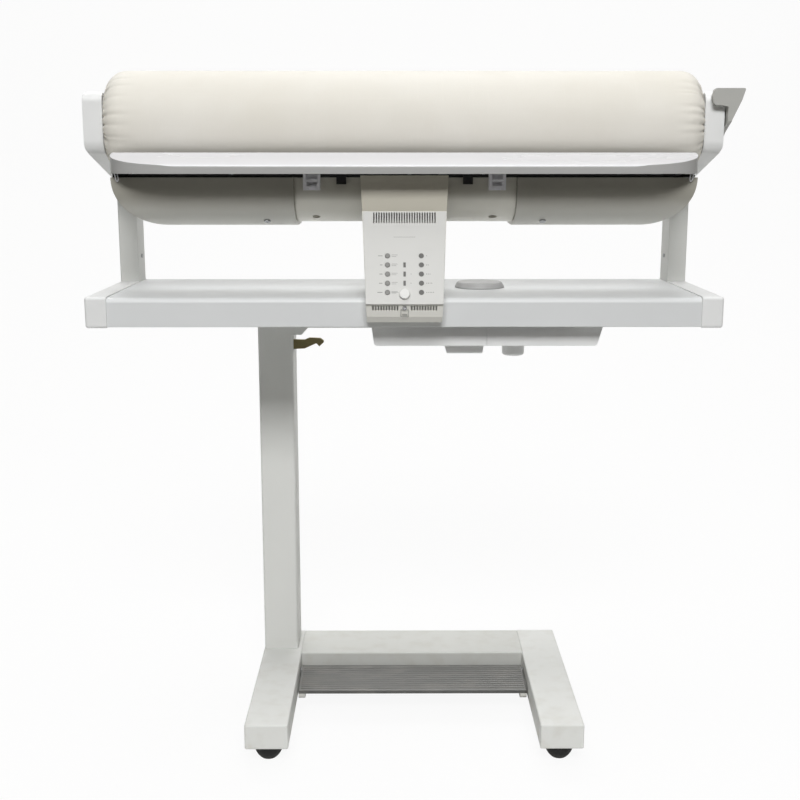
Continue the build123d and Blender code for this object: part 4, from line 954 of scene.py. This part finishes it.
def backdrop():
    line = [(stage["front"], 0.0), (stage["back"] - stage["bend"], 0.0)]
    for i in range(1, stage["bendSteps"] + 1):
        turn = i / stage["bendSteps"] * math.pi / 2
        line.append((stage["back"] - stage["bend"] + stage["bend"] * math.sin(turn),
                     stage["bend"] * (1 - math.cos(turn))))
    line.append((stage["back"], stage["rise"]))
    verts = [(side * stage["width"] / 2, y, z - stage["under"])
             for y, z in line for side in (-1, 1)]
    faces = [(2 * i, 2 * i + 1, 2 * i + 3, 2 * i + 2) for i in range(len(line) - 1)]
    finish = Finish("backdrop", Roughness=stage["gloss"], Specular_IOR_Level=stage["specular"])
    drift = finish.cloud(stage["drift"], 2.0)
    finish.feed(Base_Color=finish.base(stage["floor"],
                                       stage["light"] + drift * stage["driftTone"]))
    ray = finish.node("ShaderNodeLightPath", {}, {})["Is Camera Ray"]
    glow = finish.node("ShaderNodeEmission", {}, {"Color": white, "Strength": 1.0})
    own = Wire(finish, finish.shader.outputs["BSDF"])
    both = finish.node("ShaderNodeMixShader", {}, {0: ray * stage["show"], 1: own, 2: glow})
    out = finish.tree.nodes["Material Output"]
    finish.tree.links.new(both.socket, out.inputs["Surface"])
    piece = meshPiece("backdrop", verts, faces, finish.material)


lights = {                                     # place, size across and up, and power in watts
    "frontBox": {"place": (0.0, -4.2, 4.0), "size": (2.4, 1.4), "power": 224.0},
    "overhead": {"place": (0.0, -0.2, 4.4), "size": (2.6, 2.0), "power": 52.0},
    "backBox": {"place": (0.0, 2.3, 3.1), "size": (3.4, 1.4), "power": 64.0},
}
lightsAim = (0, 0, 0.6)
worldLight = {"strength": 0.07, "colour": (1.0, 0.94, 0.80, 1.0), "seen": "fcfcfb"}


def softLight(name, look):
    lamp = bpy.data.lights.new(name, "AREA")
    lamp.shape = "RECTANGLE"
    lamp.size, lamp.size_y = look["size"]
    lamp.energy = look["power"]
    holder = linked(name, lamp)
    holder.location = look["place"]
    way = Vector(lightsAim) - Vector(look["place"])
    holder.rotation_euler = way.to_track_quat("-Z", "Y").to_euler()


def studio():                                  # the camera sees another tone than lights do
    backdrop()
    for name, look in lights.items():
        softLight(name, look)
    world = bpy.data.worlds.new("studio")
    bpy.context.scene.world = world
    world.use_nodes = True
    world.node_tree.nodes.clear()
    sky = Graph(world.node_tree)
    ray = sky.node("ShaderNodeLightPath", {}, {})["Is Camera Ray"]
    room = sky.node("ShaderNodeBackground", {}, {"Color": worldLight["colour"],
                                                 "Strength": worldLight["strength"]})
    seen = sky.node("ShaderNodeBackground", {}, {"Color": tone(worldLight["seen"]),
                                                 "Strength": 1.0})
    mixed = sky.node("ShaderNodeMixShader", {}, {0: ray, 1: room, 2: seen})
    sky.node("ShaderNodeOutputWorld", {}, {"Surface": mixed})
    bpy.context.scene.view_settings.view_transform = "Standard"


viewpoint = {"place": (-0.0262, -1.7313, 0.8393), "down": 11.31, "right": 0.27, "lens": 53.88,
             "sensor": 36.0, "near": 0.05, "far": 50.0}


def photoCamera():
    lens = bpy.data.cameras.new("photoView")
    lens.sensor_width, lens.lens = viewpoint["sensor"], viewpoint["lens"]
    lens.clip_start, lens.clip_end = viewpoint["near"], viewpoint["far"]
    holder = linked("photoView", lens)
    holder.location = viewpoint["place"]
    holder.rotation_euler = Euler((math.radians(90 - viewpoint["down"]), 0,
                                   math.radians(-viewpoint["right"])))
    bpy.context.scene.camera = holder


studio()
photoCamera()
